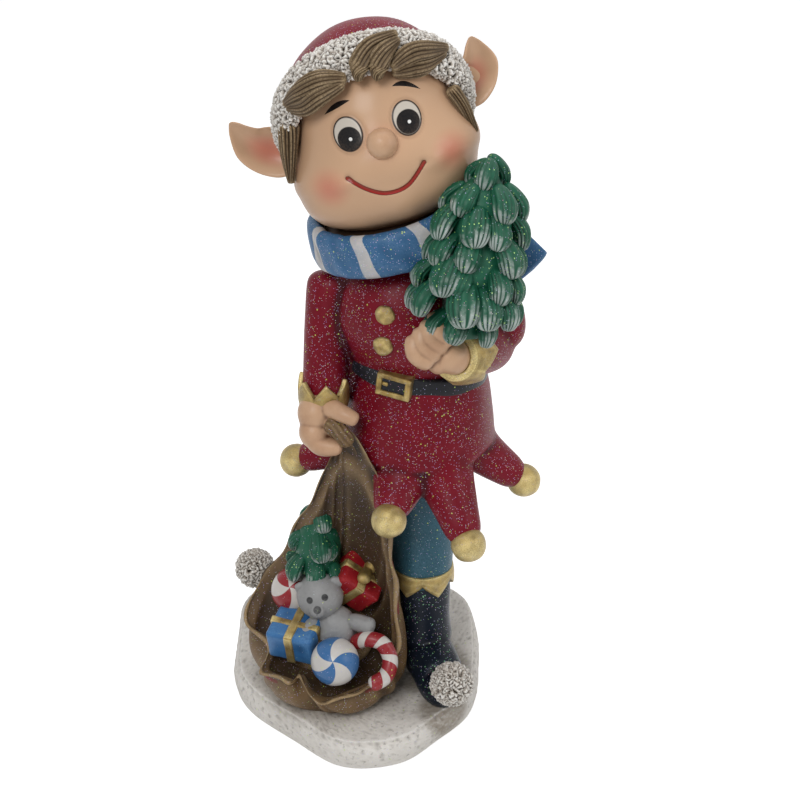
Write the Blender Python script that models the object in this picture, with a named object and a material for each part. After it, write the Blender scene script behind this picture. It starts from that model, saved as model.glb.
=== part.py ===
"""A Christmas elf figurine: one cast and hand-painted piece.

The elf stands in the middle of a slab of snow, holds a small fir tree in one arm
and pulls up the cloth of an open toy sack with the other hand.  Every form is
modelled as its own closed lump, as a sculptor would in clay, and the lumps are
joined into one solid.  Metres, +Z up, the elf looks along -Y, and +X is the
viewer's right.  The origin is under the middle of the finished piece.
"""
import math

import bmesh
import bpy
from mathutils import Matrix, Vector, noise

# The finished figure: the length of the legs follows from its height, and the
# reach of the scarf's tail from its width
FIGURE_HEIGHT = 0.470
FIGURE_WIDTH = 0.2105

# Heights, each measured from the one below it
SNOW_THICKNESS = 0.022
BOOT_HEIGHT = 0.078
HIP_TO_WAIST = 0.072
WAIST_TO_NECK = 0.077
NECK_TO_HEAD = 0.0637
CROWN_RISE = 0.0723

# The slab of snow
SNOW_WIDTH = 0.176
SNOW_DEPTH = 0.1882
SNOW_CENTRE_X = -0.017
SNOW_LIP = 0.006

# Legs and boots
STANDING_KNEE = (0.028, -0.004)
STANDING_ANKLE = (0.0295, -0.006)
RESTING_KNEE = (-0.010, 0.032)
RESTING_ANKLE = (-0.0335, 0.054)
TROUSER_RADIUS = 0.0195
BOOT_RADIUS = 0.0185
BOOT_LENGTH = 0.052
TOE_CURL = 0.014
BOOT_CUFF_HEIGHT = 0.013
POMPOM_RADIUS = 0.0148

# Coat
WAIST_CENTRE = (0.0245, 0.002)
WAIST_RADIUS = 0.0415
CHEST_RADIUS = 0.047
NECK_RADIUS = 0.038
LEAN = -0.0175
SKIRT_LENGTH = 0.060
HIP_RADIUS = 0.0505
# Each petal of the hem: its turn from the front, how far out and how far below the hem
PETALS = ((-98, 0.080, 0.024), (-16, 0.066, 0.023), (25, 0.073, 0.039), (88, 0.069, 0.031),
          (133, 0.062, 0.030), (172, 0.064, 0.028), (-144, 0.068, 0.026))
PETAL_RADIUS = 0.0195
HEM_BALL_RADIUS = 0.0108
BELT_WIDTH = 0.0115
BELT_THICKNESS = 0.0036
BELT_DEPTH = 0.008
BELT_TILT = 7.0
BELT_DROP = 0.0030
BUCKLE_WIDTH = 0.022
BUCKLE_HEIGHT = 0.015
BUTTON_RADIUS = 0.0062

# Arms and hands
SLEEVE_RADIUS = 0.0142
ELBOW_RADIUS = 0.0178
CUFF_HEIGHT = 0.018
CUFF_THICKNESS = 0.0014
HAND_RADIUS = 0.0132
FINGER_RADIUS = 0.0062

# Scarf
SCARF_RADIUS = 0.0470
SCARF_HEIGHT = 0.0265
SCARF_THICKNESS = 0.010
SCARF_LIFT = 0.0145
SCARF_ROLL = 15.0
SCARF_TAIL_DROP = 0.041

# Head
HEAD_WIDTH = 0.096
HEAD_DEPTH = 0.092
HEAD_HEIGHT = 0.100
HEAD_TIP_BACK = 18.6
HEAD_ROLL = 16.0
HEAD_NOD = 6.6
CHEEK_SWELL = 0.23
JAW_SWELL = 0.25
JAW_LEVEL = -0.33
JAW_SHIFT = 0.003
NOSE_RADIUS = 0.0088
EYE_CENTRE = (0.0172, 0.0138)
EYE_WIDTH = 0.0176
EYE_HEIGHT = 0.0225
PUPIL_CENTRE = (0.0178, 0.0110)
PUPIL_RADIUS = 0.0074
SMILE = ((-0.026, -0.0105), (-0.018, -0.0195), (-0.006, -0.0240), (0.008, -0.0215), (0.0195, -0.0140))
EAR_WIDTH = 0.030
EAR_THICKNESS = 0.009

# Hat and hair
HAT_TILT = 45.0
HAT_WIDTH = 0.1065
HAT_DEPTH = 0.098
HAT_HEIGHT = 0.0560
TRIM_WIDTH = 0.030
TRIM_THICKNESS = 0.015
LOCK_RADIUS = 0.0072
SIDEBURN_RADIUS = 0.0065

# Trees
TREE_HEIGHT = 0.112
TREE_RADIUS = 0.0272
BOUGH_LENGTH = 0.0265
BOUGH_WIDTH = 0.0175
# Each tier of boughs from the top: how many, and how far out as a share of the radius
FIR_TIERS = ((3, 0.28), (6, 0.68), (7, 0.80), (8, 0.84), (9, 0.98), (9, 1.0), (6, 0.58))
TOY_FIR_TIERS = ((3, 0.40), (5, 0.80), (6, 1.0))
TOY_TREE_HEIGHT = 0.0523
TOY_TREE_RADIUS = 0.0175

# Toy sack
SACK_WIDTH = 0.082
SACK_DEPTH = 0.090
SACK_CENTRE = (-0.032, -0.014)
SACK_LIP_HEIGHT = 0.025
SACK_RUFFLE = 0.006
TOY_BALL_RADIUS = 0.0158
BEAR_HEAD_RADIUS = 0.0155
GIFT_SIZE = 0.027
RIBBON_WIDTH = 0.006
CANE_RADIUS = 0.0052

# How fine the facets are
ROUND_STEPS = 10
FINE_STEPS = 18
MOST_FACETS = 11800

PAINTS = {
    "skin": ((0.74, 0.52, 0.38), 0.42, 0.0),
    "coat_red": ((0.34, 0.012, 0.030), 0.45, 0.0),
    "scarf_blue": ((0.06, 0.19, 0.43), 0.45, 0.0),
    "trouser_blue": ((0.04, 0.15, 0.22), 0.45, 0.0),
    "boot_navy": ((0.010, 0.014, 0.028), 0.40, 0.0),
    "belt_black": ((0.012, 0.013, 0.016), 0.35, 0.0),
    "old_gold": ((0.36, 0.25, 0.09), 0.42, 0.6),
    "fur_white": ((0.66, 0.62, 0.55), 0.75, 0.0),
    "eye_white": ((0.70, 0.66, 0.60), 0.30, 0.0),
    "eye_black": ((0.012, 0.014, 0.020), 0.25, 0.0),
    "lip_red": ((0.45, 0.02, 0.02), 0.35, 0.0),
    "hair_brown": ((0.17, 0.11, 0.06), 0.50, 0.0),
    "fir_green": ((0.02, 0.14, 0.08), 0.50, 0.0),
    "sack_brown": ((0.22, 0.14, 0.07), 0.60, 0.0),
    "snow_grey": ((0.60, 0.58, 0.54), 0.70, 0.0),
    "bear_grey": ((0.27, 0.27, 0.27), 0.55, 0.0),
    "toy_red": ((0.45, 0.02, 0.03), 0.35, 0.0),
    "toy_blue": ((0.05, 0.19, 0.42), 0.35, 0.0),
    "candy_white": ((0.72, 0.68, 0.64), 0.35, 0.0),
}

# Heights and frames that follow from the sizes above
snow_top = SNOW_THICKNESS
boot_top = snow_top + BOOT_HEIGHT
trouser_length = FIGURE_HEIGHT - (SNOW_THICKNESS + BOOT_HEIGHT + HIP_TO_WAIST + WAIST_TO_NECK
                                  + NECK_TO_HEAD + CROWN_RISE)
hip_z = boot_top + trouser_length
waist_z = hip_z + HIP_TO_WAIST
neck_z = waist_z + WAIST_TO_NECK
head_z = neck_z + NECK_TO_HEAD
hem_z = waist_z - SKIRT_LENGTH
neck_x = WAIST_CENTRE[0] + LEAN
hanging_shoulder = Vector((neck_x - 0.035, 0.004, neck_z - 0.020))
bent_shoulder = Vector((neck_x + 0.056, 0.006, neck_z - 0.026))

clay = bpy.data.collections.new("clay")
bpy.context.scene.collection.children.link(clay)


def clear_scene():
    """Start from an empty scene."""
    for old in list(bpy.data.objects):
        bpy.data.objects.remove(old, do_unlink=True)


def make_paints():
    """One Principled material for each paint."""
    for name, (colour, roughness, metallic) in PAINTS.items():
        paint = bpy.data.materials.new(name)
        paint.use_nodes = True
        shader = paint.node_tree.nodes["Principled BSDF"]
        shader.inputs["Base Color"].default_value = (*colour, 1.0)
        shader.inputs["Roughness"].default_value = roughness
        shader.inputs["Metallic"].default_value = metallic
        paint.diffuse_color = (*colour, 1.0)


def lump(name, bm, paint):
    """Turn a closed bmesh into one lump of clay in its paint."""
    if bm.calc_volume(signed=True) < 0:
        bmesh.ops.reverse_faces(bm, faces=bm.faces)
    bmesh.ops.triangulate(bm, faces=bm.faces)
    mesh = bpy.data.meshes.new(name)
    bm.to_mesh(mesh)
    bm.free()
    mesh.materials.append(bpy.data.materials[paint])
    piece = bpy.data.objects.new(name, mesh)
    clay.objects.link(piece)
    return piece


def form(name, paint, sides, rings, place):
    """A ball whose points move to place(turn, rise), rise 0 below to 1 above."""
    bm = bmesh.new()
    bmesh.ops.create_uvsphere(bm, u_segments=sides, v_segments=rings, radius=1.0)
    for vert in bm.verts:
        turn = math.atan2(vert.co.y, vert.co.x)
        rise = math.acos(max(-1.0, min(1.0, -vert.co.z))) / math.pi
        vert.co = place(turn, rise)
    return lump(name, bm, paint)


def hoop(name, paint, steps, sides, place):
    """A closed band whose points move to place(turn, round)."""
    bm = bmesh.new()
    tube = 0.3
    flat = Matrix.Translation((1.0, 0.0, 0.0)) @ Matrix.Rotation(math.radians(90), 4, "X")
    bmesh.ops.create_circle(bm, segments=sides, radius=tube, matrix=flat)
    bmesh.ops.spin(bm, geom=bm.verts[:] + bm.edges[:], cent=(0, 0, 0), axis=(0, 0, 1),
                   angle=math.tau, steps=steps, use_merge=True)
    for vert in bm.verts:
        turn = math.atan2(vert.co.y, vert.co.x)
        round_ = math.atan2(vert.co.z, math.hypot(vert.co.x, vert.co.y) - 1.0)
        vert.co = place(turn, round_)
    return lump(name, bm, paint)


def along(points, t):
    """The place at t, 0 to 1, on a smooth curve through the points."""
    last = len(points) - 1
    run = min(max(t, 0.0), 1.0) * last
    i = min(int(run), last - 1)
    u = run - i
    a, b, c, d = points[max(i - 1, 0)], points[i], points[i + 1], points[min(i + 2, last)]
    return 0.5 * (2 * b + (c - a) * u + (2 * a - 5 * b + 4 * c - d) * u * u
                  + (3 * b - a - 3 * c + d) * u * u * u)


def around(points, t):
    """The place at t, 0 to 1, on a smooth closed curve through the points."""
    count = len(points)
    run = (t % 1.0) * count
    i = int(run) % count
    u = run - int(run)
    a, b, c, d = (points[(i + k) % count] for k in (-1, 0, 1, 2))
    return 0.5 * (2 * b + (c - a) * u + (2 * a - 5 * b + 4 * c - d) * u * u
                  + (3 * b - a - 3 * c + d) * u * u * u)


def limb(name, paint, points, radii, sides=ROUND_STEPS, rings=8, flat=1.0, wide=(1, 0, 0),
         blunt=1.0):
    """A rounded limb along the points, thinned by flat and with ends squared by a small blunt."""
    points = [Vector(p) for p in points]
    length = sum((b - a).length for a, b in zip(points, points[1:]))
    step = 0.01

    def place(turn, rise):
        centre = along(points, rise)
        heading = along(points, min(rise + step, 1.0)) - along(points, max(rise - step, 0.0))
        heading.normalize()
        across = Vector(wide)
        across = (across - heading * across.dot(heading)).normalized()
        other = heading.cross(across)
        radius = along(radii, rise)
        to_end = min(rise, 1.0 - rise) * length / (radius * blunt)
        radius *= math.sqrt(max(0.0, 1.0 - (1.0 - min(to_end, 1.0)) ** 2))
        return centre + (across * math.cos(turn) + other * math.sin(turn) * flat) * radius

    return form(name, paint, sides, rings, place)


def ball(name, paint, centre, radius, sides=ROUND_STEPS, rings=8, stretch=(1, 1, 1), turned=None):
    """A ball, stretched along its own axes and turned by a matrix."""
    bm = bmesh.new()
    frame = Matrix.Translation(Vector(centre)) @ (turned or Matrix.Identity(4))
    bmesh.ops.create_uvsphere(bm, u_segments=sides, v_segments=rings, radius=radius,
                              matrix=frame @ Matrix.Diagonal((*stretch, 1)))
    return lump(name, bm, paint)


def block(name, paint, frame, size, soft):
    """A box with softly rounded edges, in the frame of a matrix."""
    bm = bmesh.new()
    bmesh.ops.create_cube(bm, size=1.0, matrix=Matrix.Diagonal((*size, 1)))
    bmesh.ops.bevel(bm, geom=bm.edges[:], offset=soft, offset_type="OFFSET", segments=1,
                    profile=0.5, affect="EDGES", material=-1)
    bmesh.ops.transform(bm, matrix=frame, verts=bm.verts)
    return lump(name, bm, paint)


def collar(name, frame, inner, outer, height, points, depth, sides=FINE_STEPS, paint="old_gold"):
    """A cuff round a limb whose upper edge rises in pointed teeth."""
    steps = [(0.0, 0.0), (inner, 0.0), (outer, 0.0), (outer * 1.02, 0.5), (outer, 1.0),
             (inner, 0.8), (0.0, 0.8)]

    def place(turn, rise):
        radius, level = steps[round(rise * (len(steps) - 1))]
        tooth = abs((turn / math.tau * points) % 1.0 * 2.0 - 1.0) if level == 1.0 else 0.0
        rise_z = level * height + tooth * depth
        return frame @ Vector((radius * math.cos(turn), radius * math.sin(turn), rise_z))

    return form(name, paint, sides, len(steps) - 1, place)


def leaning(base, tip, yaw=0.0):
    """A frame at the base whose Z axis points to the tip."""
    base, tip = Vector(base), Vector(tip)
    turned = (tip - base).to_track_quat("Z", "Y").to_matrix().to_4x4()
    return Matrix.Translation(base) @ turned @ Matrix.Rotation(math.radians(yaw), 4, "Z")


def blend(a, b, t):
    """A smooth step from 0 at a to 1 at b."""
    u = min(max((t - a) / (b - a), 0.0), 1.0)
    return u * u * (3.0 - 2.0 * u)


def snow():
    """The slab: a soft rounded outline with a notch at the front right."""
    outline = [(0.98, 0.02), (0.90, -0.42), (0.64, -0.72), (0.34, -0.97), (-0.10, -1.0),
               (-0.48, -0.72), (-0.84, -0.40), (-0.98, -0.08), (-1.0, 0.44), (-0.98, 0.82),
               (-0.74, 0.98), (-0.1, 1.0), (0.60, 0.99), (0.88, 0.86), (0.98, 0.52)]
    outline = [Vector((x * SNOW_WIDTH / 2 + SNOW_CENTRE_X, y * SNOW_DEPTH / 2, 0))
               for x, y in reversed(outline)]
    centre = Vector((SNOW_CENTRE_X, 0, 0))
    lip = SNOW_LIP
    steps = [(0.0, 0.0), (-lip, 0.0), (0.0, 0.30), (0.0, 0.62), (-lip, 0.92), (-3 * lip, 1.0),
             (-8 * lip, 1.02), (0.0, 1.04)]

    def place(turn, rise):
        step = round(rise * (len(steps) - 1))
        inset, level = steps[step]
        rim = around(outline, turn / math.tau)
        if step in (0, len(steps) - 1):
            rim = centre
        elif inset:
            rim = rim + (centre - rim).normalized() * -inset
        return Vector((rim.x, rim.y, level * SNOW_THICKNESS))

    form("snow", "snow_grey", 30, len(steps) - 1, place)


def leg(side, knee, foot, toe_turn, curl):
    """A trouser leg in its boot, with the curled toe and its pompom."""
    toe_turn = math.radians(toe_turn)
    ahead = Vector((math.sin(toe_turn), -math.cos(toe_turn), 0))
    ankle = Vector((*foot, snow_top)) + ahead * 0.006
    hip = Vector((WAIST_CENTRE[0] + (knee[0] - WAIST_CENTRE[0]) * 0.6, knee[1] * 0.7, hip_z))
    top = Vector((*knee, boot_top))
    limb(f"{side}_trouser", "trouser_blue", [top - Vector((0, 0, 0.02)), top, (top + hip) / 2, hip],
         [TROUSER_RADIUS * 0.85, TROUSER_RADIUS * 0.97, TROUSER_RADIUS, TROUSER_RADIUS * 1.05])
    heel = ankle + Vector((0, 0, BOOT_RADIUS * 0.75))
    limb(f"{side}_boot_shaft", "boot_navy", [heel, (heel + top) / 2, top],
         [BOOT_RADIUS, BOOT_RADIUS * 0.95, BOOT_RADIUS * 1.08])
    toe = ankle + ahead * (BOOT_LENGTH * 0.72) + Vector((0, 0, BOOT_RADIUS * 0.62))
    tip = ankle + ahead * BOOT_LENGTH * 0.92 + Vector((0, 0, BOOT_RADIUS * 0.62 + curl))
    limb(f"{side}_boot_foot", "boot_navy", [heel - ahead * 0.012, heel + ahead * 0.016, toe, tip],
         [BOOT_RADIUS * 0.92, BOOT_RADIUS * 0.95, BOOT_RADIUS * 0.82, BOOT_RADIUS * 0.45],
         wide=(-ahead.y, ahead.x, 0))
    frame = leaning(top + Vector((0, 0, 0.003)), top - Vector((0, 0, 1)))
    collar(f"{side}_boot_cuff", frame, BOOT_RADIUS * 0.8, BOOT_RADIUS * 1.16,
           BOOT_CUFF_HEIGHT * 0.5, 6, BOOT_CUFF_HEIGHT * 0.7, sides=24)
    ball(f"{side}_pompom", "fur_white", tip + ahead * POMPOM_RADIUS * 0.45, POMPOM_RADIUS)


def coat():
    """Chest and the bell of the skirt, whose hem hangs in pointed petals with balls."""
    waist = Vector((*WAIST_CENTRE, waist_z))
    neck = Vector((neck_x, 0.0, neck_z))
    chest = waist.lerp(neck, 0.55) + Vector((0.001, -0.001, 0))
    limb("chest", "coat_red", [waist - Vector((0, 0, 0.03)), waist, chest, neck],
         [WAIST_RADIUS * 0.9, WAIST_RADIUS, CHEST_RADIUS, NECK_RADIUS], sides=18, flat=0.95)
    shoulders = neck + Vector((0, 0.004, -0.016))
    limb("shoulders", "coat_red", [hanging_shoulder, shoulders, bent_shoulder + Vector((-0.0013, 0.0007, -0.0011))],
         [SLEEVE_RADIUS * 1.05, NECK_RADIUS * 0.62, ELBOW_RADIUS], sides=12, wide=(0, 1, 0))

    profile = [(0.0, 0.16), (0.62, 0.10), (1.0, 0.0), (0.97, 0.30), (0.91, 0.62), (0.82, 0.95),
               (0.5, 1.15), (0.0, 1.17)]

    def place(turn, rise):
        spread, level = profile[round(rise * (len(profile) - 1))]
        radius = HIP_RADIUS * spread if level < 0.9 else WAIST_RADIUS * spread / 0.82
        x = WAIST_CENTRE[0] + radius * math.cos(turn)
        y = WAIST_CENTRE[1] + radius * math.sin(turn)
        return Vector((x, y, hem_z + level * SKIRT_LENGTH))

    form("skirt", "coat_red", 20, len(profile) - 1, place)
    for number, (turn, reach, drop) in enumerate(PETALS):
        out = Vector((math.sin(math.radians(turn)), -math.cos(math.radians(turn)), 0))
        middle = Vector((*WAIST_CENTRE, hem_z))
        tip = middle + out * reach - Vector((0, 0, drop))
        root = middle + out * (HIP_RADIUS - PETAL_RADIUS * 1.3) + Vector((0, 0, SKIRT_LENGTH * 0.45))
        knee = middle + out * (HIP_RADIUS - PETAL_RADIUS + (reach - HIP_RADIUS) * 0.35)
        knee.z -= drop * 0.15
        wide = Vector((-out.y, out.x, 0))
        limb(f"petal_{number + 1}", "coat_red", [root, knee, tip],
             [PETAL_RADIUS * 1.4, PETAL_RADIUS, HEM_BALL_RADIUS * 0.98], sides=8, rings=6, flat=0.82,
             wide=wide)
        ball(f"hem_ball_{number + 1}", "old_gold", tip, HEM_BALL_RADIUS, sides=9, rings=6)


def belt():
    """Belt, buckle and the two coat buttons."""
    centre = Vector((*WAIST_CENTRE, waist_z - BELT_DROP))
    tilt = Matrix.Rotation(math.radians(BELT_TILT), 3, "Y")
    corner = math.radians(45)

    def place(turn, round_):
        radius = WAIST_RADIUS + (BELT_THICKNESS if math.cos(round_ + corner) > 0 else -BELT_DEPTH)
        lift = math.copysign(BELT_WIDTH / 2, math.sin(round_ + corner))
        out = Vector((radius * math.cos(turn), radius * 0.95 * math.sin(turn), lift))
        return centre + tilt @ out

    hoop("belt", "belt_black", 20, 4, place)
    facing = math.radians(-20)
    out = Vector((math.sin(facing), -math.cos(facing), 0))
    middle = centre + tilt @ out * (WAIST_RADIUS * 0.97)
    frame = leaning(middle, middle + out)
    across = frame.to_3x3() @ Vector((1, 0, 0))
    turn = math.atan2(across.z, math.hypot(across.x, across.y))
    frame = frame @ Matrix.Rotation(-turn - math.radians(BELT_TILT), 4, "Z")
    block("buckle", "old_gold", frame @ Matrix.Translation((0, 0, BELT_THICKNESS * 0.6)),
          (BUCKLE_WIDTH, BUCKLE_HEIGHT, 0.009), 0.0015)
    neck = Vector((neck_x, 0.0, neck_z))
    waist = Vector((*WAIST_CENTRE, waist_z))
    for number, (share, aside, reach) in enumerate(((0.345, 0.0, 0.965), (0.60, 0.005, 0.92))):
        spot = waist.lerp(neck, share) + Vector((aside, 0, 0)) + out * (CHEST_RADIUS * reach)
        ball(f"button_{number + 1}", "old_gold", spot, BUTTON_RADIUS, sides=10, rings=6,
             stretch=(1, 0.5, 1), turned=Matrix.Rotation(facing, 4, "Z"))


def hanging_arm():
    """The arm that hangs down to the sack, with its cuff and gripping hand."""
    wrist = Vector((-0.0345, -0.020, waist_z - 0.014))
    elbow = hanging_shoulder + Vector((-0.004, -0.012, -0.036))
    limb("hanging_sleeve", "coat_red", [hanging_shoulder, elbow, wrist - Vector((0, 0, CUFF_HEIGHT * 0.6))],
         [SLEEVE_RADIUS * 1.12, SLEEVE_RADIUS * 1.02, SLEEVE_RADIUS * 0.97], rings=8)
    limb("flank", "coat_red", [hanging_shoulder + Vector((0.008, 0.004, 0)), elbow + Vector((0.010, 0.008, 0)),
         wrist + Vector((0.012, 0.014, 0.004))], [SLEEVE_RADIUS * 0.9] * 3)
    frame = leaning(wrist - Vector((0, 0, CUFF_HEIGHT * 0.55)), wrist + Vector((-0.002, 0, 1)), 10)
    collar("hanging_cuff", frame, SLEEVE_RADIUS * 0.8, SLEEVE_RADIUS + CUFF_THICKNESS,
           CUFF_HEIGHT * 0.6, 6, CUFF_HEIGHT * 0.5, sides=24)
    grip = Vector((-0.035, -0.026, waist_z - 0.038))
    limb("gripping_palm", "skin", [wrist, grip + Vector((-0.002, 0.0, 0.010)), grip + Vector((-0.001, -0.004, 0.002))],
         [HAND_RADIUS * 1.05, HAND_RADIUS, HAND_RADIUS * 0.82], flat=0.85)
    limb("gripping_thumb", "skin", [grip + Vector((0.002, -0.004, 0.018)),
         grip + Vector((0.013, -0.014, 0.0175)), grip + Vector((0.0225, -0.018, 0.0145))],
         [FINGER_RADIUS * 1.1, FINGER_RADIUS * 0.9, FINGER_RADIUS * 0.7], sides=8, rings=6)
    for number in range(2):
        drop = Vector((0.0, 0.009 * number, -0.001 * number))
        limb(f"gripping_finger_{number + 1}", "skin", [grip + drop + Vector((-0.008, -0.006, 0.004)),
             grip + drop + Vector((-0.001, -0.013, -0.005)), grip + drop + Vector((0.0125, -0.016, -0.0050))],
             [FINGER_RADIUS * 1.3, FINGER_RADIUS * 1.1, FINGER_RADIUS * 0.75], sides=8, rings=6)
    return grip


def bent_arm():
    """The arm that is bent across the chest, with its cuff and the hand under the tree."""
    shoulder = bent_shoulder
    elbow = shoulder + Vector((0.008, -0.016, -0.038))
    wrist = elbow + Vector((-0.024, -0.042, 0.013))
    limb("upper_sleeve", "coat_red", [shoulder, elbow + Vector((0.002, 0.003, 0.014)), elbow],
         [ELBOW_RADIUS, ELBOW_RADIUS, ELBOW_RADIUS * 0.97], rings=7)
    limb("fore_sleeve", "coat_red", [elbow - (wrist - elbow) * 0.2, (elbow + wrist) / 2, wrist],
         [ELBOW_RADIUS * 0.85, ELBOW_RADIUS * 0.95, SLEEVE_RADIUS], rings=7, wide=(1, -0.5, 0))
    frame = leaning(wrist + (wrist - elbow) * 0.10, elbow, 20)
    collar("bent_cuff", frame, SLEEVE_RADIUS * 0.7, SLEEVE_RADIUS + CUFF_THICKNESS,
           CUFF_HEIGHT * 0.45, 5, CUFF_HEIGHT * 0.75, sides=20)
    palm = wrist + Vector((-0.018, -0.010, 0.007))
    limb("holding_palm", "skin", [wrist, wrist.lerp(palm, 0.6), palm],
         [HAND_RADIUS * 0.80, HAND_RADIUS * 1.0, HAND_RADIUS * 0.9], flat=0.8, wide=(0, 0.4, 1))
    for number in range(4):
        root = palm + Vector((0.003 + 0.0042 * number, -0.004 + 0.0010 * number, -0.006 + 0.0045 * number))
        limb(f"holding_finger_{number + 1}", "skin",
             [root, root + Vector((-0.010, -0.001, 0.007)), root + Vector((-0.0115, 0.004, 0.017))],
             [FINGER_RADIUS, FINGER_RADIUS * 0.92, FINGER_RADIUS * 0.75], sides=8, rings=5)
    return palm


def scarf():
    """The scarf round the neck, and its tail blown out behind the tree."""
    middle = Vector((neck_x + 0.003, 0.002, neck_z + SCARF_LIFT))
    roll = Matrix.Rotation(math.radians(-SCARF_ROLL), 4, "Y") @ Matrix.Rotation(math.radians(4), 4, "X")

    def place(turn, round_):
        radius = SCARF_RADIUS + SCARF_THICKNESS / 2 * math.cos(round_)
        lift = math.copysign(abs(math.sin(round_)) ** 0.5, math.sin(round_)) * SCARF_HEIGHT / 2
        radius -= 0.10 * lift
        out = Vector((radius * 1.04 * math.cos(turn), radius * math.sin(turn), lift))
        return middle + roll @ out

    hoop("scarf", "scarf_blue", 22, 8, place)
    tail_reach = FIGURE_WIDTH + SNOW_CENTRE_X - SNOW_WIDTH / 2
    root = middle + Vector((0.036, 0.026, 0.002))
    end = Vector((tail_reach - SCARF_HEIGHT * 0.34, 0.018, middle.z - SCARF_TAIL_DROP))
    limb("scarf_tail", "scarf_blue", [root, root.lerp(end, 0.5) + Vector((0, 0.004, 0.002)), end],
         [SCARF_HEIGHT * 0.36, SCARF_HEIGHT * 0.46, SCARF_HEIGHT * 0.52], flat=0.32, rings=9,
         wide=(0.65, 0, 0.76), blunt=0.3)
    ball("neck", "skin", middle, SCARF_RADIUS, stretch=(1, 1, 0.2), turned=roll)


def head_frame():
    """The head's own frame: rolled to one side and tipped back."""
    back = Matrix.Rotation(math.radians(-HEAD_TIP_BACK), 4, "X")
    roll = Matrix.Rotation(math.radians(-HEAD_ROLL), 4, "Y")
    nod = Matrix.Rotation(math.radians(HEAD_NOD), 4, "X")
    return Matrix.Translation((neck_x - 0.0035, 0.0, head_z)) @ back @ roll @ nod


def head():
    """A pear-shaped head with wide cheeks, a ball nose and cupped, pointed ears."""
    frame = head_frame()

    def place(turn, rise):
        z = -math.cos(rise * math.pi)
        flat = (1.0 - abs(z) ** 2.6) ** 0.4545 if z > 0 else math.sqrt(max(0.0, 1.0 - z * z))
        spread = 1.0 + CHEEK_SWELL * blend(0.35, JAW_LEVEL, z) + JAW_SWELL * blend(JAW_LEVEL, -0.95, z)
        top = 1.18 if z > 0 else 1.0
        shift = JAW_SHIFT * blend(0.1, -0.6, z)
        return frame @ Vector((HEAD_WIDTH / 2 * flat * spread * math.cos(turn) - shift,
                               HEAD_DEPTH / 2 * flat * (0.4 + 0.6 * spread) * math.sin(turn),
                               HEAD_HEIGHT / 2 * z * top))

    form("head", "skin", FINE_STEPS, 14, place)
    ball("nose", "skin", frame @ Vector((-0.001, -HEAD_DEPTH / 2 - 0.003, 0.004)), NOSE_RADIUS,
         sides=10, rings=7)
    ear("left_ear", frame, -1, [(-0.046, 0.010, 0.008), (-0.063, 0.008, 0.010), (-0.076, 0.006, 0.019),
                                (-0.0855, 0.005, 0.035)])
    ear("right_ear", frame, 1, [(0.046, 0.010, 0.015), (0.0570, 0.008, 0.018), (0.0650, 0.006, 0.027),
                                (0.0645, 0.003, 0.043)])


def ear(name, frame, side, spine):
    """A broad leaf-shaped ear on a curved spine, with a hollow that faces forward."""
    turn_only = frame.to_3x3()
    spine = [frame @ Vector(p) for p in spine]
    facing = (turn_only @ Vector((0.25 * side, -1.0, 0.1))).normalized()
    widths = [0.80, 1.0, 0.80, 0.14]

    def place(turn, rise):
        within = 1.0 if 0.0 < rise < 1.0 else 0.0
        heading = (along(spine, min(rise + 0.05, 1.0)) - along(spine, max(rise - 0.05, 0.0))).normalized()
        across = heading.cross(facing).normalized()
        u = math.cos(turn)
        v = math.sin(turn)
        hollow = 0.88 * EAR_THICKNESS * max(0.0, v) * (1 - u * u) * math.sin(math.pi * rise)
        out = EAR_THICKNESS / 2 * v * (0.5 + 0.5 * math.sin(math.pi * rise)) - hollow
        return along(spine, rise) + (across * EAR_WIDTH / 2 * along(widths, rise) * u + facing * out) * within

    form(name, "skin", 12, 8, place)


def hat():
    """The dome of the hat and its fur trim, tipped far back on the head."""
    frame = head_frame() @ Matrix.Translation((-0.001, 0.002, 0.0185))
    frame = frame @ Matrix.Rotation(math.radians(-HAT_TILT), 4, "X")

    def dome(turn, rise):
        z = -math.cos(rise * math.pi)
        flat = math.sqrt(max(0.0, 1.0 - z * z))
        return frame @ Vector((HAT_WIDTH / 2 * flat * math.cos(turn),
                               HAT_DEPTH / 2 * flat * math.sin(turn),
                               z * (HAT_HEIGHT if z > 0 else HAT_HEIGHT * 0.2)))

    form("hat_dome", "coat_red", 18, 12, dome)

    def trim(turn, round_):
        swell = 1.0 + 0.10 * math.sin(turn * 9) * math.cos(round_ * 2)
        out = TRIM_THICKNESS / 2 * math.cos(round_) * swell
        return frame @ Vector(((HAT_WIDTH / 2 + out) * math.cos(turn),
                               (HAT_DEPTH / 2 + out) * math.sin(turn),
                               TRIM_WIDTH / 2 * math.sin(round_) * swell))

    hoop("hat_trim", "fur_white", 28, 8, trim)


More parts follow.
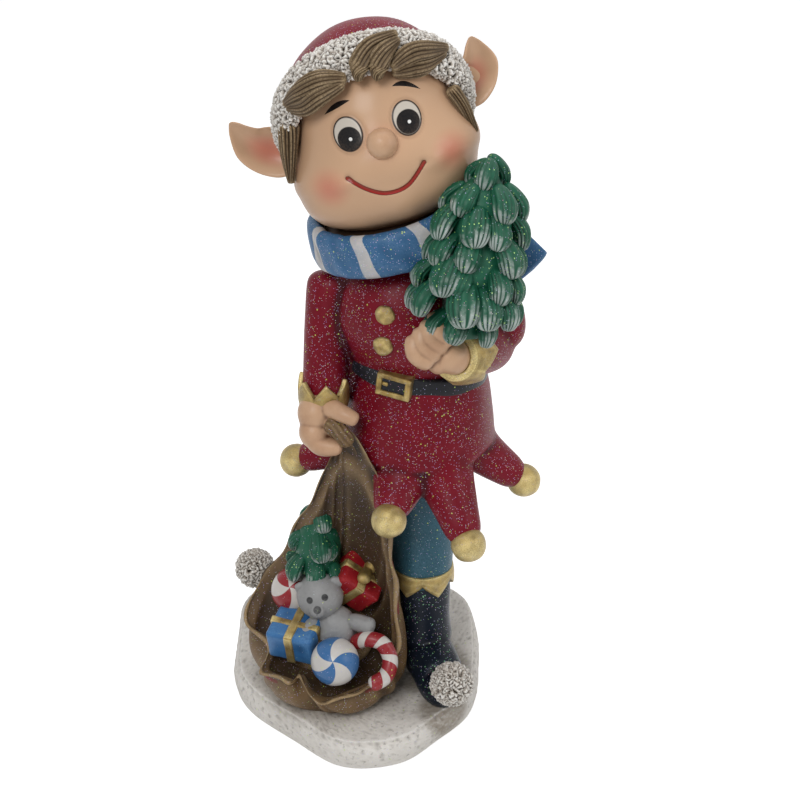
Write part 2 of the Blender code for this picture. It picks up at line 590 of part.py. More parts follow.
def hair():
    """Swept locks that lie over the fur trim, and a sideburn in front of each ear."""
    frame = head_frame()
    locks = {
        "left_lock_over": [(-0.010, -0.0455, 0.0425), (-0.024, -0.0450, 0.0460), (-0.037, -0.0380, 0.0430),
                           (-0.0485, -0.0270, 0.0375)],
        "left_lock_under": [(-0.012, -0.0460, 0.0415), (-0.026, -0.0450, 0.0390), (-0.037, -0.0380, 0.0345),
                            (-0.0475, -0.0270, 0.0350)],
        "centre_lock_left": [(-0.004, -0.0460, 0.0400), (-0.001, -0.0480, 0.0485), (0.008, -0.0450, 0.0560),
                             (0.024, -0.0380, 0.0590)],
        "centre_lock_right": [(0.006, -0.0460, 0.0375), (0.0085, -0.0480, 0.0450), (0.0145, -0.0460, 0.0515),
                              (0.024, -0.0390, 0.0555)],
        "right_lock_over": [(0.0180, -0.0425, 0.0430), (0.0275, -0.0405, 0.0455), (0.0365, -0.0360, 0.0450),
                            (0.0495, -0.0240, 0.0425)],
        "right_lock_under": [(0.0170, -0.0400, 0.0395), (0.0260, -0.0380, 0.0378), (0.0345, -0.0350, 0.0376),
                             (0.0475, -0.0250, 0.0405)],
    }
    for name, points in locks.items():
        limb(name, "hair_brown", [frame @ Vector(p) for p in points],
             [LOCK_RADIUS * 0.45, LOCK_RADIUS * 0.82, LOCK_RADIUS * 0.76, LOCK_RADIUS * 0.30],
             sides=8, rings=7, flat=0.75, wide=frame.to_3x3() @ Vector((0.2, 0, 1)))
    sideburns = {"left_sideburn": (1, [(-0.0485, -0.019, 0.028), (-0.0540, -0.016, 0.012), (-0.0585, -0.012, -0.008)]),
                 "right_sideburn": (0.7, [(0.0450, -0.023, 0.021), (0.0495, -0.020, 0.006), (0.0530, -0.0135, -0.009)])}
    for name, (share, points) in sideburns.items():
        limb(name, "hair_brown", [frame @ Vector(p) for p in points],
             [share * SIDEBURN_RADIUS * taper for taper in (1.0, 0.85, 0.35)], sides=8, rings=6)


def on_face(x, z, above=0.0):
    """The place on the front of the head at x across and z up, in the head's frame."""
    height = z / (HEAD_HEIGHT / 2 * (1.18 if z > 0 else 1.0))
    flat = (1.0 - height ** 2.6) ** 0.4545 if z > 0 else math.sqrt(1.0 - height * height)
    spread = (1.0 + CHEEK_SWELL * blend(0.35, JAW_LEVEL, height)
              + JAW_SWELL * blend(JAW_LEVEL, -0.95, height))
    share = (x + JAW_SHIFT * blend(0.1, -0.6, height)) / (HEAD_WIDTH / 2 * flat * spread)
    y = -HEAD_DEPTH / 2 * flat * (0.4 + 0.6 * spread) * math.sqrt(1.0 - share * share)
    outwards = Vector((share * HEAD_DEPTH / HEAD_WIDTH, -math.sqrt(1.0 - share * share), 0)).normalized()
    return Vector((x, y, z)) + outwards * above, outwards


def face():
    """The painted features, each standing a paint's relief proud of the skin."""
    frame = head_frame()
    for side, name in ((-1, "left"), (1, "right")):
        for part_name, paint, centre, half_width, half_height, sunk in (
                ("eye", "eye_white", EYE_CENTRE, EYE_WIDTH / 2, EYE_HEIGHT / 2, 0.0015),
                ("pupil", "eye_black", PUPIL_CENTRE, PUPIL_RADIUS, PUPIL_RADIUS, 0.0012)):
            spot, outwards = on_face(centre[0] * side, centre[1], -sunk)
            turned = Matrix.Rotation(math.atan2(outwards.x, -outwards.y), 4, "Z")
            ball(f"{name}_{part_name}", paint, (0, 0, 0), 1.0, sides=12, rings=8,
                 turned=frame @ Matrix.Translation(spot) @ turned,
                 stretch=(half_width, 0.0022, half_height))
        brow = [on_face(side * x, z, -0.0004)[0] for x, z in ((0.0145, 0.0300), (0.021, 0.0325), (0.028, 0.0290))]
        limb(f"{name}_brow", "eye_black", [frame @ p for p in brow], [0.0016, 0.0016, 0.0010],
             sides=6, rings=5)
    lips = [on_face(x, z, -0.0003)[0] for x, z in SMILE]
    limb("smile", "lip_red", [frame @ p for p in lips], [0.0010, 0.0013, 0.0013, 0.0013, 0.0010],
         sides=6, rings=12)


def fir(name, base, tip, radius, tiers, bough_length, bough_width):
    """A fir tree: a cone hung with tiers of drooping, drop-shaped boughs."""
    frame = leaning(base, tip)
    height = (Vector(tip) - Vector(base)).length
    reaches = [tiers[-1][1], tiers[-1][1]] + [reach for _, reach in reversed(tiers)] + [0.0]

    def core(turn, rise):
        spread = radius * 0.86 * max(0.0, along(reaches, rise)) if 0.0 < rise < 1.0 else 0.0
        return frame @ Vector((spread * math.cos(turn), spread * math.sin(turn), height * rise))

    form(f"{name}_core", "fir_green", ROUND_STEPS, 8, core)
    for tier, (count, reach) in enumerate(tiers):
        level = height * (1.0 - (tier + 0.7) / len(tiers) * 0.93)
        spread = radius * reach
        for number in range(count):
            vary = noise.noise(Vector((tier * 3.7, number * 2.3, len(tiers) + 0.5)))
            turn = math.tau * (number + 0.5 * (tier % 2) + 0.35 * vary) / count
            out = Vector((math.cos(turn), math.sin(turn), 0))
            side = Vector((-out.y, out.x, 0))
            scale = (0.78 + 0.22 * reach) * (1.0 + 0.30 * vary)
            high = level + bough_length * (0.30 + 0.25 * vary)
            root = out * (spread - bough_length * 0.30 * scale) + Vector((0, 0, high))
            end = out * (spread + bough_length * (0.14 + 0.16 * vary)) + side * bough_length * 0.4 * vary
            end.z = high - bough_length * 0.82 * scale
            middle = (root + end) / 2 + out * bough_length * 0.16
            limb(f"{name}_bough_{tier + 1}_{number + 1}", "fir_green",
                 [frame @ root, frame @ middle, frame @ end],
                 [bough_width * 0.30 * scale, bough_width * 0.5 * scale, bough_width * 0.34 * scale],
                 sides=6, rings=4, flat=0.65, wide=frame.to_3x3() @ side)


def sack(grip):
    """The open toy sack: a ruffled mouth in front and a back wall drawn up to the hand."""
    lip_z = snow_top + SACK_LIP_HEIGHT
    half_width, half_depth = SACK_WIDTH / 2, SACK_DEPTH / 2
    cx, cy = SACK_CENTRE
    ruffle = SACK_RUFFLE
    grip_z = grip.z + 0.006
    drawn = grip_z - lip_z
    rim = [(grip.x + 0.013, grip.y - 0.014, grip_z), (cx + 0.025, cy - 0.030, lip_z + drawn * 0.90),
           (cx + 0.0325, cy - 0.033, lip_z + drawn * 0.75), (cx + 0.036, cy - 0.031, lip_z + drawn * 0.55),
           (cx + 0.0385, cy - 0.026, lip_z + drawn * 0.32), (cx + half_width - 0.001, cy - 0.028, lip_z + 0.020),
           (cx + 0.034, cy - 0.038, lip_z + 0.002), (cx + 0.019, cy - half_depth - 0.005, lip_z),
           (cx, cy - half_depth - 0.010 - ruffle, lip_z - 0.003),
           (cx - 0.015, cy - half_depth - 0.008 - ruffle, lip_z + 0.002),
           (cx - 0.021, cy - half_depth - 0.002 + ruffle * 0.5, lip_z + 0.006),
           (cx - 0.027, cy - half_depth - ruffle, lip_z + 0.006),
           (cx - 0.044, cy - 0.036, lip_z + 0.003), (cx - 0.044 + ruffle * 0.5, cy - 0.016, lip_z + 0.010),
           (cx - half_width - 0.010 - ruffle, cy + 0.002, lip_z + 0.014),
           (cx - half_width - 0.008, cy + 0.020, lip_z + 0.032),
           (cx - 0.032, cy + 0.012, lip_z + drawn * 0.36), (cx - 0.017, cy - 0.001, lip_z + drawn * 0.56),
           (cx - 0.003, cy - 0.014, lip_z + drawn * 0.78), (grip.x + 0.009, grip.y - 0.010, lip_z + drawn * 0.93)]
    rim = [Vector(p) for p in rim]
    floor = Vector((cx - 0.004, cy - 0.008, snow_top + 0.038))
    foot_centre = Vector((cx, cy, snow_top - 0.006))

    def outside(share, t):
        """Down the outside of the cloth: t 1 at the rim, 0 at the foot."""
        angle = math.radians(81) - share * math.tau
        foot = Vector((cx + half_width * math.cos(angle), cy + half_depth * math.sin(angle),
                       snow_top - 0.006))
        edge = around(rim, share)
        out = Vector((math.cos(angle), math.sin(angle), 0))
        return foot.lerp(edge, t) + out * 0.008 * math.sin(math.pi * t)

    def place(turn, rise):
        share = (turn / math.tau) % 1.0
        if rise < 0.499:
            t = rise / 0.5
            if t < 0.25:
                return foot_centre.lerp(outside(share, 0.0), t / 0.25)
            return outside(share, (t - 0.25) / 0.75)
        w = (rise - 0.5) / 0.5
        lining = 0.08 * min(w / 0.12, 1.0) + 0.92 * w * w
        return outside(share, 1.0 - 0.8 * w).lerp(floor, min(lining, 1.0))

    form("sack", "sack_brown", 40, 14, place)
    ball("sack_filling", "sack_brown", floor - Vector((0, 0, 0.004)), 0.030, stretch=(1.05, 1.0, 0.75))
    return floor


def toys(floor):
    """What looks out of the sack: balls, gifts, a bear, a small fir and a candy cane."""
    x, y, z = floor
    ball("red_ball", "toy_red", (x - 0.022, y + 0.010, z + 0.026), TOY_BALL_RADIUS, sides=14, rings=9)
    ball("blue_ball", "toy_blue", (x + 0.0065, y - 0.038, z + 0.003), TOY_BALL_RADIUS, sides=14, rings=9)
    head_spot = Vector((x - 0.004, y - 0.007, z + 0.0335))
    ball("bear_head", "bear_grey", head_spot, BEAR_HEAD_RADIUS, sides=14, rings=9)
    for side in (-1, 1):
        ball(f"bear_ear_{side + 2}", "bear_grey", head_spot + Vector((
             BEAR_HEAD_RADIUS * (0.82 * side + 0.12), 0.002, BEAR_HEAD_RADIUS * (0.62 + 0.18 * side))),
             BEAR_HEAD_RADIUS * 0.34, sides=8, rings=6)
    ball("bear_snout", "bear_grey", head_spot + Vector((0, -BEAR_HEAD_RADIUS * 0.8, -0.004)),
         BEAR_HEAD_RADIUS * 0.36, sides=8, rings=6)
    ball("bear_body", "bear_grey", head_spot + Vector((0.010, -0.005, -0.024)), BEAR_HEAD_RADIUS,
         stretch=(0.95, 0.9, 1.15))
    for side in (-1, 1):
        shoulder = head_spot + Vector((0.008 + 0.010 * side, -0.006, -0.015))
        reach = Vector((0.018, -0.008, -0.001)) if side > 0 else Vector((-0.009, -0.013, -0.007))
        limb(f"bear_arm_{side + 2}", "bear_grey", [shoulder, shoulder + reach * 0.6, shoulder + reach],
             [BEAR_HEAD_RADIUS * 0.34, BEAR_HEAD_RADIUS * 0.38, BEAR_HEAD_RADIUS * 0.36], sides=8, rings=6)
    soft = GIFT_SIZE * 0.08
    red_frame = (Matrix.Translation((x + 0.0195, y + 0.006, z + 0.037))
                 @ Matrix.Rotation(math.radians(38), 4, "Y") @ Matrix.Rotation(math.radians(25), 4, "X"))
    block("red_gift", "toy_red", red_frame, (GIFT_SIZE * 1.15, GIFT_SIZE, GIFT_SIZE * 0.9), soft)
    block("red_gift_ribbon", "old_gold", red_frame,
          (RIBBON_WIDTH, GIFT_SIZE * 1.06, GIFT_SIZE * 0.96), soft * 0.4)
    for side in (-1, 1):
        knot = red_frame @ Vector((0.0004 * side, GIFT_SIZE * (0.05 - 0.07 * side), GIFT_SIZE * 0.48))
        loop = red_frame @ Vector((0.002 * side, GIFT_SIZE * (0.05 + 0.42 * side), GIFT_SIZE * 0.62))
        limb(f"bow_loop_{side + 2}", "old_gold", [knot, knot.lerp(loop, 0.6), loop],
             [RIBBON_WIDTH * 0.5, RIBBON_WIDTH * 0.75, RIBBON_WIDTH * 0.7], sides=6, rings=5)
    blue_frame = (Matrix.Translation((x - 0.0195, y - 0.016, z + 0.008))
                  @ Matrix.Rotation(math.radians(-20), 4, "Z") @ Matrix.Rotation(math.radians(14), 4, "X"))
    block("blue_gift", "toy_blue", blue_frame, (GIFT_SIZE * 1.2, GIFT_SIZE, GIFT_SIZE * 0.85), soft)
    block("blue_gift_ribbon", "old_gold", blue_frame,
          (RIBBON_WIDTH, GIFT_SIZE * 1.06, GIFT_SIZE * 0.92), soft * 0.4)
    cane = [(x + 0.018, y - 0.020, z + 0.004), (x + 0.027, y - 0.026, z + 0.012), (x + 0.037, y - 0.029, z + 0.011),
            (x + 0.0425, y - 0.034, z + 0.002), (x + 0.0395, y - 0.042, z - 0.006), (x + 0.029, y - 0.047, z - 0.010)]
    limb("candy_cane", "candy_white", cane, [CANE_RADIUS] * len(cane), sides=8, rings=12, wide=(0, 0.3, 1))
    base = Vector((x - 0.006, y + 0.012, z + 0.042))
    fir("toy_fir", base, base + Vector((0.002, 0.004, TOY_TREE_HEIGHT)), TOY_TREE_RADIUS, TOY_FIR_TIERS,
        BOUGH_LENGTH * 0.80, BOUGH_WIDTH * 0.80)


def evaluated_mesh(piece):
    """A new mesh of the piece as its modifiers leave it."""
    bpy.context.view_layer.update()
    return bpy.data.meshes.new_from_object(piece.evaluated_get(bpy.context.evaluated_depsgraph_get()))


def outer_shell(bm):
    """Keep the largest shell, so that no sealed pocket is left between the lumps."""
    shells = []
    left = set(bm.verts)
    while left:
        shell = set()
        front = {left.pop()}
        while front:
            shell |= front
            front = {edge.other_vert(vert) for vert in front for edge in vert.link_edges} - shell
        left -= shell
        shells.append(shell)
    largest = max(shells, key=len)
    bmesh.ops.delete(bm, geom=[v for v in bm.verts if v not in largest], context="VERTS")


def cast(name):
    """Join every lump into one solid and stand it on the origin."""
    first = clay.objects["snow"]
    clay.objects.unlink(first)
    bpy.context.scene.collection.objects.link(first)
    join = first.modifiers.new("join", "BOOLEAN")
    join.operation = "UNION"
    join.operand_type = "COLLECTION"
    join.collection = clay
    join.solver = "EXACT"
    join.material_mode = "TRANSFER"
    joined = evaluated_mesh(first)

    bm = bmesh.new()
    bm.from_mesh(joined)
    outer_shell(bm)
    bmesh.ops.triangulate(bm, faces=bm.faces)
    low = Vector([min(v.co[k] for v in bm.verts) for k in range(3)])
    high = Vector([max(v.co[k] for v in bm.verts) for k in range(3)])
    middle = (low + high) / 2
    bmesh.ops.translate(bm, verts=bm.verts, vec=(-middle.x, -middle.y, -low.z))
    facets = len(bm.faces)
    bm.to_mesh(joined)
    bm.free()

    rough = bpy.data.objects.new("rough_cast", joined)
    bpy.context.scene.collection.objects.link(rough)
    thin = rough.modifiers.new("fewer_facets", "DECIMATE")
    thin.ratio = min(1.0, MOST_FACETS / facets)
    mesh = evaluated_mesh(rough)
    mesh.name = name
    mesh.shade_smooth()
    mesh.set_sharp_from_angle(angle=math.radians(50))
    figurine = bpy.data.objects.new(name, mesh)
    bpy.context.scene.collection.objects.link(figurine)
    for piece in list(clay.objects) + [first, rough]:
        bpy.data.objects.remove(piece, do_unlink=True)
    return figurine


def main():
    """Model the lumps from the snow upwards and join them."""
    clear_scene()
    make_paints()
    snow()
    leg("standing", STANDING_KNEE, STANDING_ANKLE, 17, TOE_CURL)
    leg("resting", RESTING_KNEE, RESTING_ANKLE, -102, TOE_CURL * 1.2)
    coat()
    belt()
    grip = hanging_arm()
    palm = bent_arm()
    scarf()
    head()
    hat()
    hair()
    face()
    base = palm + Vector((0.018, 0.002, 0.006))
    fir("fir", base, base + Vector((0.018, 0.029, -0.008 + TREE_HEIGHT)), TREE_RADIUS, FIR_TIERS,
        BOUGH_LENGTH, BOUGH_WIDTH)
    toys(sack(grip))
    cast("elf_figurine")


main()
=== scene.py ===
# %% [markdown]
# # A Christmas elf figurine, cast in resin and painted by hand
# The real figurine is one casting.  A sculptor made it in clay from many soft
# lumps, a mould copied it, and a painter gave each area its own colour, a brown
# wash in the hollows and a dusting of glitter.  Here each painted area is a piece
# of its own, so that every paint can have its own surface.  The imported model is
# loaded first and stays the fixed frame that all the pieces are built around.
# The seed makes the noise the same in each run.

# %% Load the frame
import math
import bmesh
import bpy
import numpy as np
from mathutils import Matrix, Vector, noise


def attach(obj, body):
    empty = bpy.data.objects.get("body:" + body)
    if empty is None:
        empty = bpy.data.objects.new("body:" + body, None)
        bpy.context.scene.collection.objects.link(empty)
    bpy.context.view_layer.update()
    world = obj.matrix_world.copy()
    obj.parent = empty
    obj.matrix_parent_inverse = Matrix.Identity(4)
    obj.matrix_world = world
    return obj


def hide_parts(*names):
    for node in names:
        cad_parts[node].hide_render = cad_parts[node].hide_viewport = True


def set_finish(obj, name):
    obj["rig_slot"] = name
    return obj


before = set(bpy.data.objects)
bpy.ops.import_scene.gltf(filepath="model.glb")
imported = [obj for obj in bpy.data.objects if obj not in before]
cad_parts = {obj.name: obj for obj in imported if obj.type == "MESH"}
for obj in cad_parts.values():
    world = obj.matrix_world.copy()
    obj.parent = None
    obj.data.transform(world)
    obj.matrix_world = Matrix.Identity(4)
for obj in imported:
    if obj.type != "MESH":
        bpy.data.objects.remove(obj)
noise.seed_set(7)
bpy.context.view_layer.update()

# %% [markdown]
# ## Camera and light
# A product photograph looks down on a figurine from about arm's length, which is
# why the head looks large and the base small.  The camera stands at that height.
# Large soft lamps give the wide, blurred highlights of a light tent, and the
# lamps stay low enough that a paint renders about as bright as it is written.

# %% Camera, lamps, world and floor
CAMERA_PLACE = (0.013, -0.875, 0.692)
CAMERA_LOOKS_DOWN = 28.1
FLOOR_HALF_SIZE = 30.0
FLOOR_GLOW = 0.70
camera_data = bpy.data.cameras.new("camera")
camera_data.lens = 69.84
camera_data.sensor_width = 36.0
camera = bpy.data.objects.new("camera", camera_data)
camera.location = CAMERA_PLACE
camera.rotation_euler = (math.radians(90.0 - CAMERA_LOOKS_DOWN), 0.0, 0.0)
bpy.context.scene.collection.objects.link(camera)
bpy.context.scene.camera = camera
bpy.context.scene.view_settings.view_transform = "Standard"


def lamp(name, place, aim, size, power):
    """A soft square lamp that looks at the aim."""
    data = bpy.data.lights.new(name, "AREA")
    data.energy = power
    data.size = size
    lamp_object = bpy.data.objects.new(name, data)
    lamp_object.location = place
    lamp_object.rotation_euler = (Vector(aim) - Vector(place)).to_track_quat("-Z", "Y").to_euler()
    bpy.context.scene.collection.objects.link(lamp_object)


lamp("tent_front", (-0.45, -1.15, 1.30), (0.0, 0.0, 0.25), 0.6, 11.5)
lamp("tent_right", (1.05, -0.45, 0.75), (0.0, 0.0, 0.25), 0.6, 3.5)
lamp("tent_top", (0.05, 0.15, 1.45), (0.0, 0.0, 0.2), 0.8, 5.0)


def set_inputs(node, values):
    """Set a node's sockets by name."""
    for key, value in values.items():
        node.inputs[key].default_value = value


def seen_or_mirrored(tree_):
    """1 for what the camera sees straight, in a reflection or through glass, else 0."""
    rays = tree_.nodes.new("ShaderNodeLightPath")
    share = rays.outputs["Is Camera Ray"]
    for kind in ("Is Glossy Ray", "Is Transmission Ray"):
        larger = tree_.nodes.new("ShaderNodeMath")
        larger.operation = "MAXIMUM"
        tree_.links.new(share, larger.inputs[0])
        tree_.links.new(rays.outputs[kind], larger.inputs[1])
        share = larger.outputs[0]
    return share


world = bpy.data.worlds.new("light_tent")
bpy.context.scene.world = world
world.use_nodes = True
tree = world.node_tree
tree.nodes.clear()
white = tree.nodes.new("ShaderNodeBackground")
set_inputs(white, {"Color": (1.0, 1.0, 1.0, 1.0), "Strength": 1.0})
soft = tree.nodes.new("ShaderNodeBackground")
set_inputs(soft, {"Color": (0.98, 0.99, 1.0, 1.0), "Strength": 0.29})
mix = tree.nodes.new("ShaderNodeMixShader")
tree.links.new(seen_or_mirrored(tree), mix.inputs[0])
tree.links.new(soft.outputs[0], mix.inputs[1])
tree.links.new(white.outputs[0], mix.inputs[2])
tree.links.new(mix.outputs[0], tree.nodes.new("ShaderNodeOutputWorld").inputs[0])

floor_bm = bmesh.new()
bmesh.ops.create_grid(floor_bm, x_segments=1, y_segments=1, size=FLOOR_HALF_SIZE)
bmesh.ops.translate(floor_bm, verts=floor_bm.verts, vec=(0, 0, -0.0002))
floor_mesh = bpy.data.meshes.new("floor")
floor_bm.to_mesh(floor_mesh)
floor_bm.free()
floor = bpy.data.objects.new("floor", floor_mesh)
bpy.context.scene.collection.objects.link(floor)
floor_paint = bpy.data.materials.new("white_sweep")
floor_paint.use_nodes = True
tree = floor_paint.node_tree
shader = tree.nodes["Principled BSDF"]
set_inputs(shader, {"Base Color": (0.82, 0.82, 0.82, 1.0), "Roughness": 0.9,
                    "Emission Color": (1.0, 1.0, 1.0, 1.0)})
glow = tree.nodes.new("ShaderNodeMath")
glow.operation = "MULTIPLY"
glow.inputs[1].default_value = FLOOR_GLOW
tree.links.new(seen_or_mirrored(tree), glow.inputs[0])
tree.links.new(glow.outputs[0], shader.inputs["Emission Strength"])
floor_mesh.materials.append(floor_paint)
print("camera, three lamps and the floor are in place")

# %% [markdown]
# ## Helpers for clay
# Every form starts as a ball or a ring from bmesh and is then pushed into shape
# by a rule that says where each point goes.  A limb is a ball whose points follow
# a smooth curve.  Several lumps can be melted together with a voxel Remesh, as
# wet clay is smeared over a seam.


# %% Balls, rings, limbs and the melting of lumps
def to_object(name, bm):
    """Make an object of a bmesh and turn its faces outwards."""
    if bm.calc_volume(signed=True) < 0:
        bmesh.ops.reverse_faces(bm, faces=bm.faces)
    mesh = bpy.data.meshes.new(name)
    bm.to_mesh(mesh)
    bm.free()
    mesh.shade_smooth()
    piece = bpy.data.objects.new(name, mesh)
    bpy.context.scene.collection.objects.link(piece)
    return piece


def note(bm, values):
    """Write named numbers on the points: values maps a name to a list."""
    for name, numbers in values.items():
        layer = bm.verts.layers.float.new(name)
        for vert, number in zip(bm.verts, numbers):
            vert[layer] = number


def rotation(degrees, axis):
    """A turn about one axis, as a 4 x 4 matrix."""
    return Matrix.Rotation(math.radians(degrees), 4, axis)


def form(name, sides, rings, place, marks=None):
    """A ball whose points move to place(turn, rise); marks(turn, rise) names numbers."""
    bm = bmesh.new()
    bmesh.ops.create_uvsphere(bm, u_segments=sides, v_segments=rings, radius=1.0)
    spots = [(math.atan2(v.co.y, v.co.x), math.acos(max(-1.0, min(1.0, -v.co.z))) / math.pi)
             for v in bm.verts]
    for vert, (turn, rise) in zip(bm.verts, spots):
        vert.co = place(turn, rise)
    for mark, rule in (marks or {}).items():
        note(bm, {mark: [rule(turn, rise) for turn, rise in spots]})
    return to_object(name, bm)


def hoop(name, steps, sides, place, marks=None):
    """A closed band whose points move to place(turn, round_)."""
    bm = bmesh.new()
    upright = Matrix.Translation((1.0, 0.0, 0.0)) @ rotation(90, "X")
    bmesh.ops.create_circle(bm, segments=sides, radius=0.3, matrix=upright)
    bmesh.ops.spin(bm, geom=bm.verts[:] + bm.edges[:], cent=(0, 0, 0), axis=(0, 0, 1),
                   angle=math.tau, steps=steps, use_merge=True)
    spots = [(math.atan2(v.co.y, v.co.x), math.atan2(v.co.z, math.hypot(v.co.x, v.co.y) - 1.0))
             for v in bm.verts]
    for vert, (turn, round_) in zip(bm.verts, spots):
        vert.co = place(turn, round_)
    for mark, rule in (marks or {}).items():
        note(bm, {mark: [rule(turn, round_) for turn, round_ in spots]})
    return to_object(name, bm)


def along(points, t):
    """The place at t, 0 to 1, on a smooth curve through the points."""
    last = len(points) - 1
    run = min(max(t, 0.0), 1.0) * last
    i = min(int(run), last - 1)
    u = run - i
    a, b, c, d = points[max(i - 1, 0)], points[i], points[i + 1], points[min(i + 2, last)]
    return 0.5 * (2 * b + (c - a) * u + (2 * a - 5 * b + 4 * c - d) * u * u
                  + (3 * b - a - 3 * c + d) * u * u * u)


def around(points, t):
    """The place at t, 0 to 1, on a smooth closed curve through the points."""
    count = len(points)
    run = (t % 1.0) * count
    i = int(run) % count
    u = run - int(run)
    a, b, c, d = (points[(i + k) % count] for k in (-1, 0, 1, 2))
    return 0.5 * (2 * b + (c - a) * u + (2 * a - 5 * b + 4 * c - d) * u * u
                  + (3 * b - a - 3 * c + d) * u * u * u)


def limb(name, points, radii, sides=32, rings=40, flat=1.0, wide=(1, 0, 0), carve=None, marks=None,
         blunt=1.0):
    """A rounded limb along the points; carve(turn, rise) multiplies the radius."""
    points = [Vector(p) for p in points]
    length = sum((b - a).length for a, b in zip(points, points[1:]))

    def place(turn, rise):
        centre = along(points, rise)
        heading = along(points, min(rise + 0.01, 1.0)) - along(points, max(rise - 0.01, 0.0))
        heading.normalize()
        across = Vector(wide)
        across = (across - heading * across.dot(heading)).normalized()
        other = heading.cross(across)
        radius = along(radii, rise)
        to_end = min(rise, 1.0 - rise) * length / (radius * blunt)
        radius *= math.sqrt(max(0.0, 1.0 - (1.0 - min(to_end, 1.0)) ** 2))
        if carve:
            radius *= carve(turn, rise)
        return centre + (across * math.cos(turn) + other * math.sin(turn) * flat) * radius

    return form(name, sides, rings, place, marks)


def ball(name, centre, radius, sides=32, rings=20, stretch=(1, 1, 1), turned=None, marks=None):
    """A ball stretched along its own axes and turned by a matrix."""
    frame_ = Matrix.Translation(Vector(centre)) @ (turned or Matrix.Identity(4))
    frame_ = frame_ @ Matrix.Diagonal((*stretch, 1))

    def place(turn, rise):
        z = -math.cos(rise * math.pi)
        flat = math.sin(rise * math.pi)
        return frame_ @ (Vector((flat * math.cos(turn), flat * math.sin(turn), z)) * radius)

    return form(name, sides, rings, place, marks)


def settle(piece):
    """Apply a piece's modifiers to its mesh."""
    bpy.context.view_layer.update()
    mesh = bpy.data.meshes.new_from_object(piece.evaluated_get(bpy.context.evaluated_depsgraph_get()))
    piece.modifiers.clear()
    piece.data = mesh
    mesh.name = piece.name
    mesh.shade_smooth()
    return piece


def melt(name, lumps, voxel, smooth):
    """Melt lumps of clay into one skin and smear it smooth."""
    bm = bmesh.new()
    for lump in lumps:
        bm.from_mesh(lump.data)
        bpy.data.objects.remove(lump, do_unlink=True)
    mesh = bpy.data.meshes.new(name)
    bm.to_mesh(mesh)
    bm.free()
    piece = bpy.data.objects.new(name, mesh)
    bpy.context.scene.collection.objects.link(piece)
    clay = piece.modifiers.new("melt", "REMESH")
    clay.mode = "VOXEL"
    clay.voxel_size = voxel
    smear = piece.modifiers.new("smear", "SMOOTH")
    smear.factor = 0.5
    smear.iterations = smooth
    return settle(piece)


def push(piece, depth):
    """Move each point along its normal by depth(place) metres."""
    mesh = piece.data
    normals = [v.normal.copy() for v in mesh.vertices]
    for vert, normal in zip(mesh.vertices, normals):
        vert.co += normal * depth(vert.co)
    mesh.update()
    return piece


def roughen(piece, scale, depth):
    """Uneven clay: noise of this many waves in a metre, this deep."""
    return push(piece, lambda p: noise.noise(p * scale) * depth)


def blend(a, b, t):
    """A smooth step from 0 at a to 1 at b."""
    u = min(max((t - a) / (b - a), 0.0), 1.0)
    return u * u * (3.0 - 2.0 * u)


def leaning(base, tip, yaw=0.0):
    """A frame at the base whose Z axis points to the tip."""
    base, tip = Vector(base), Vector(tip)
    turned = (tip - base).to_track_quat("Z", "Y").to_matrix().to_4x4()
    return Matrix.Translation(base) @ turned @ rotation(yaw, "Z")


# %% [markdown]
# ## Where the washes gather
# A painter brushes thin brown paint over the colour and wipes it off again, so it
# stays in the hollows, and then drags a nearly dry, paler brush over the ridges.
# The same is measured here: the mesh is smoothed a few times, and a point that
# lies below its smoothed place is in a hollow, one above it is on a ridge.


# %% Measure hollows and ridges
def weather(piece, reach, depth):
    """Write hollow and ridge, 0 to 1, for a reach in smoothing steps and a depth in metres."""
    mesh = piece.data
    count = len(mesh.vertices)
    places = np.empty(count * 3)
    mesh.vertices.foreach_get("co", places)
    places = places.reshape(-1, 3)
    normals = np.empty(count * 3)
    mesh.vertices.foreach_get("normal", normals)
    normals = normals.reshape(-1, 3)
    ends = np.empty(len(mesh.edges) * 2, dtype=np.int64)
    mesh.edges.foreach_get("vertices", ends)
    first, second = ends[0::2], ends[1::2]
    links = np.maximum(np.bincount(ends, minlength=count), 1)[:, None]
    soft_places = places.copy()
    for _ in range(reach):
        total = np.empty_like(soft_places)
        for axis in range(3):
            column = soft_places[:, axis]
            total[:, axis] = (np.bincount(first, column[second], count)
                              + np.bincount(second, column[first], count))
        soft_places = 0.5 * soft_places + 0.5 * total / links
    lie = ((soft_places - places) * normals).sum(axis=1) / depth
    for name, values in (("hollow", lie), ("ridge", -lie)):
        layer = mesh.attributes.get(name) or mesh.attributes.new(name, "FLOAT", "POINT")
        layer.data.foreach_set("value", np.clip(values, 0.0, 1.0).astype(np.float32))
    return piece


# %% [markdown]
# ## Paints
# All the paints share one recipe: a body colour with slow blotches, a dark wash
# in the hollows, a dry-brushed tone on the ridges, and flakes of glitter.  The
# blotches, the brush grain and the glitter are node groups, built once.


# %% Node groups for blotches, brush grain and glitter
def group(name, inputs, outputs):
    """A shader node group with named sockets."""
    tree_ = bpy.data.node_groups.new(name, "ShaderNodeTree")
    for title, kind, value in inputs:
        socket = tree_.interface.new_socket(title, in_out="INPUT", socket_type=kind)
        if value is not None:
            socket.default_value = value
    for title, kind in outputs:
        tree_.interface.new_socket(title, in_out="OUTPUT", socket_type=kind)
    return tree_, tree_.nodes.new("NodeGroupInput"), tree_.nodes.new("NodeGroupOutput")


def add(tree_, kind, **settings):
    """Add a node and set its properties."""
    node = tree_.nodes.new("ShaderNode" + kind)
    for key, value in settings.items():
        setattr(node, key, value)
    return node


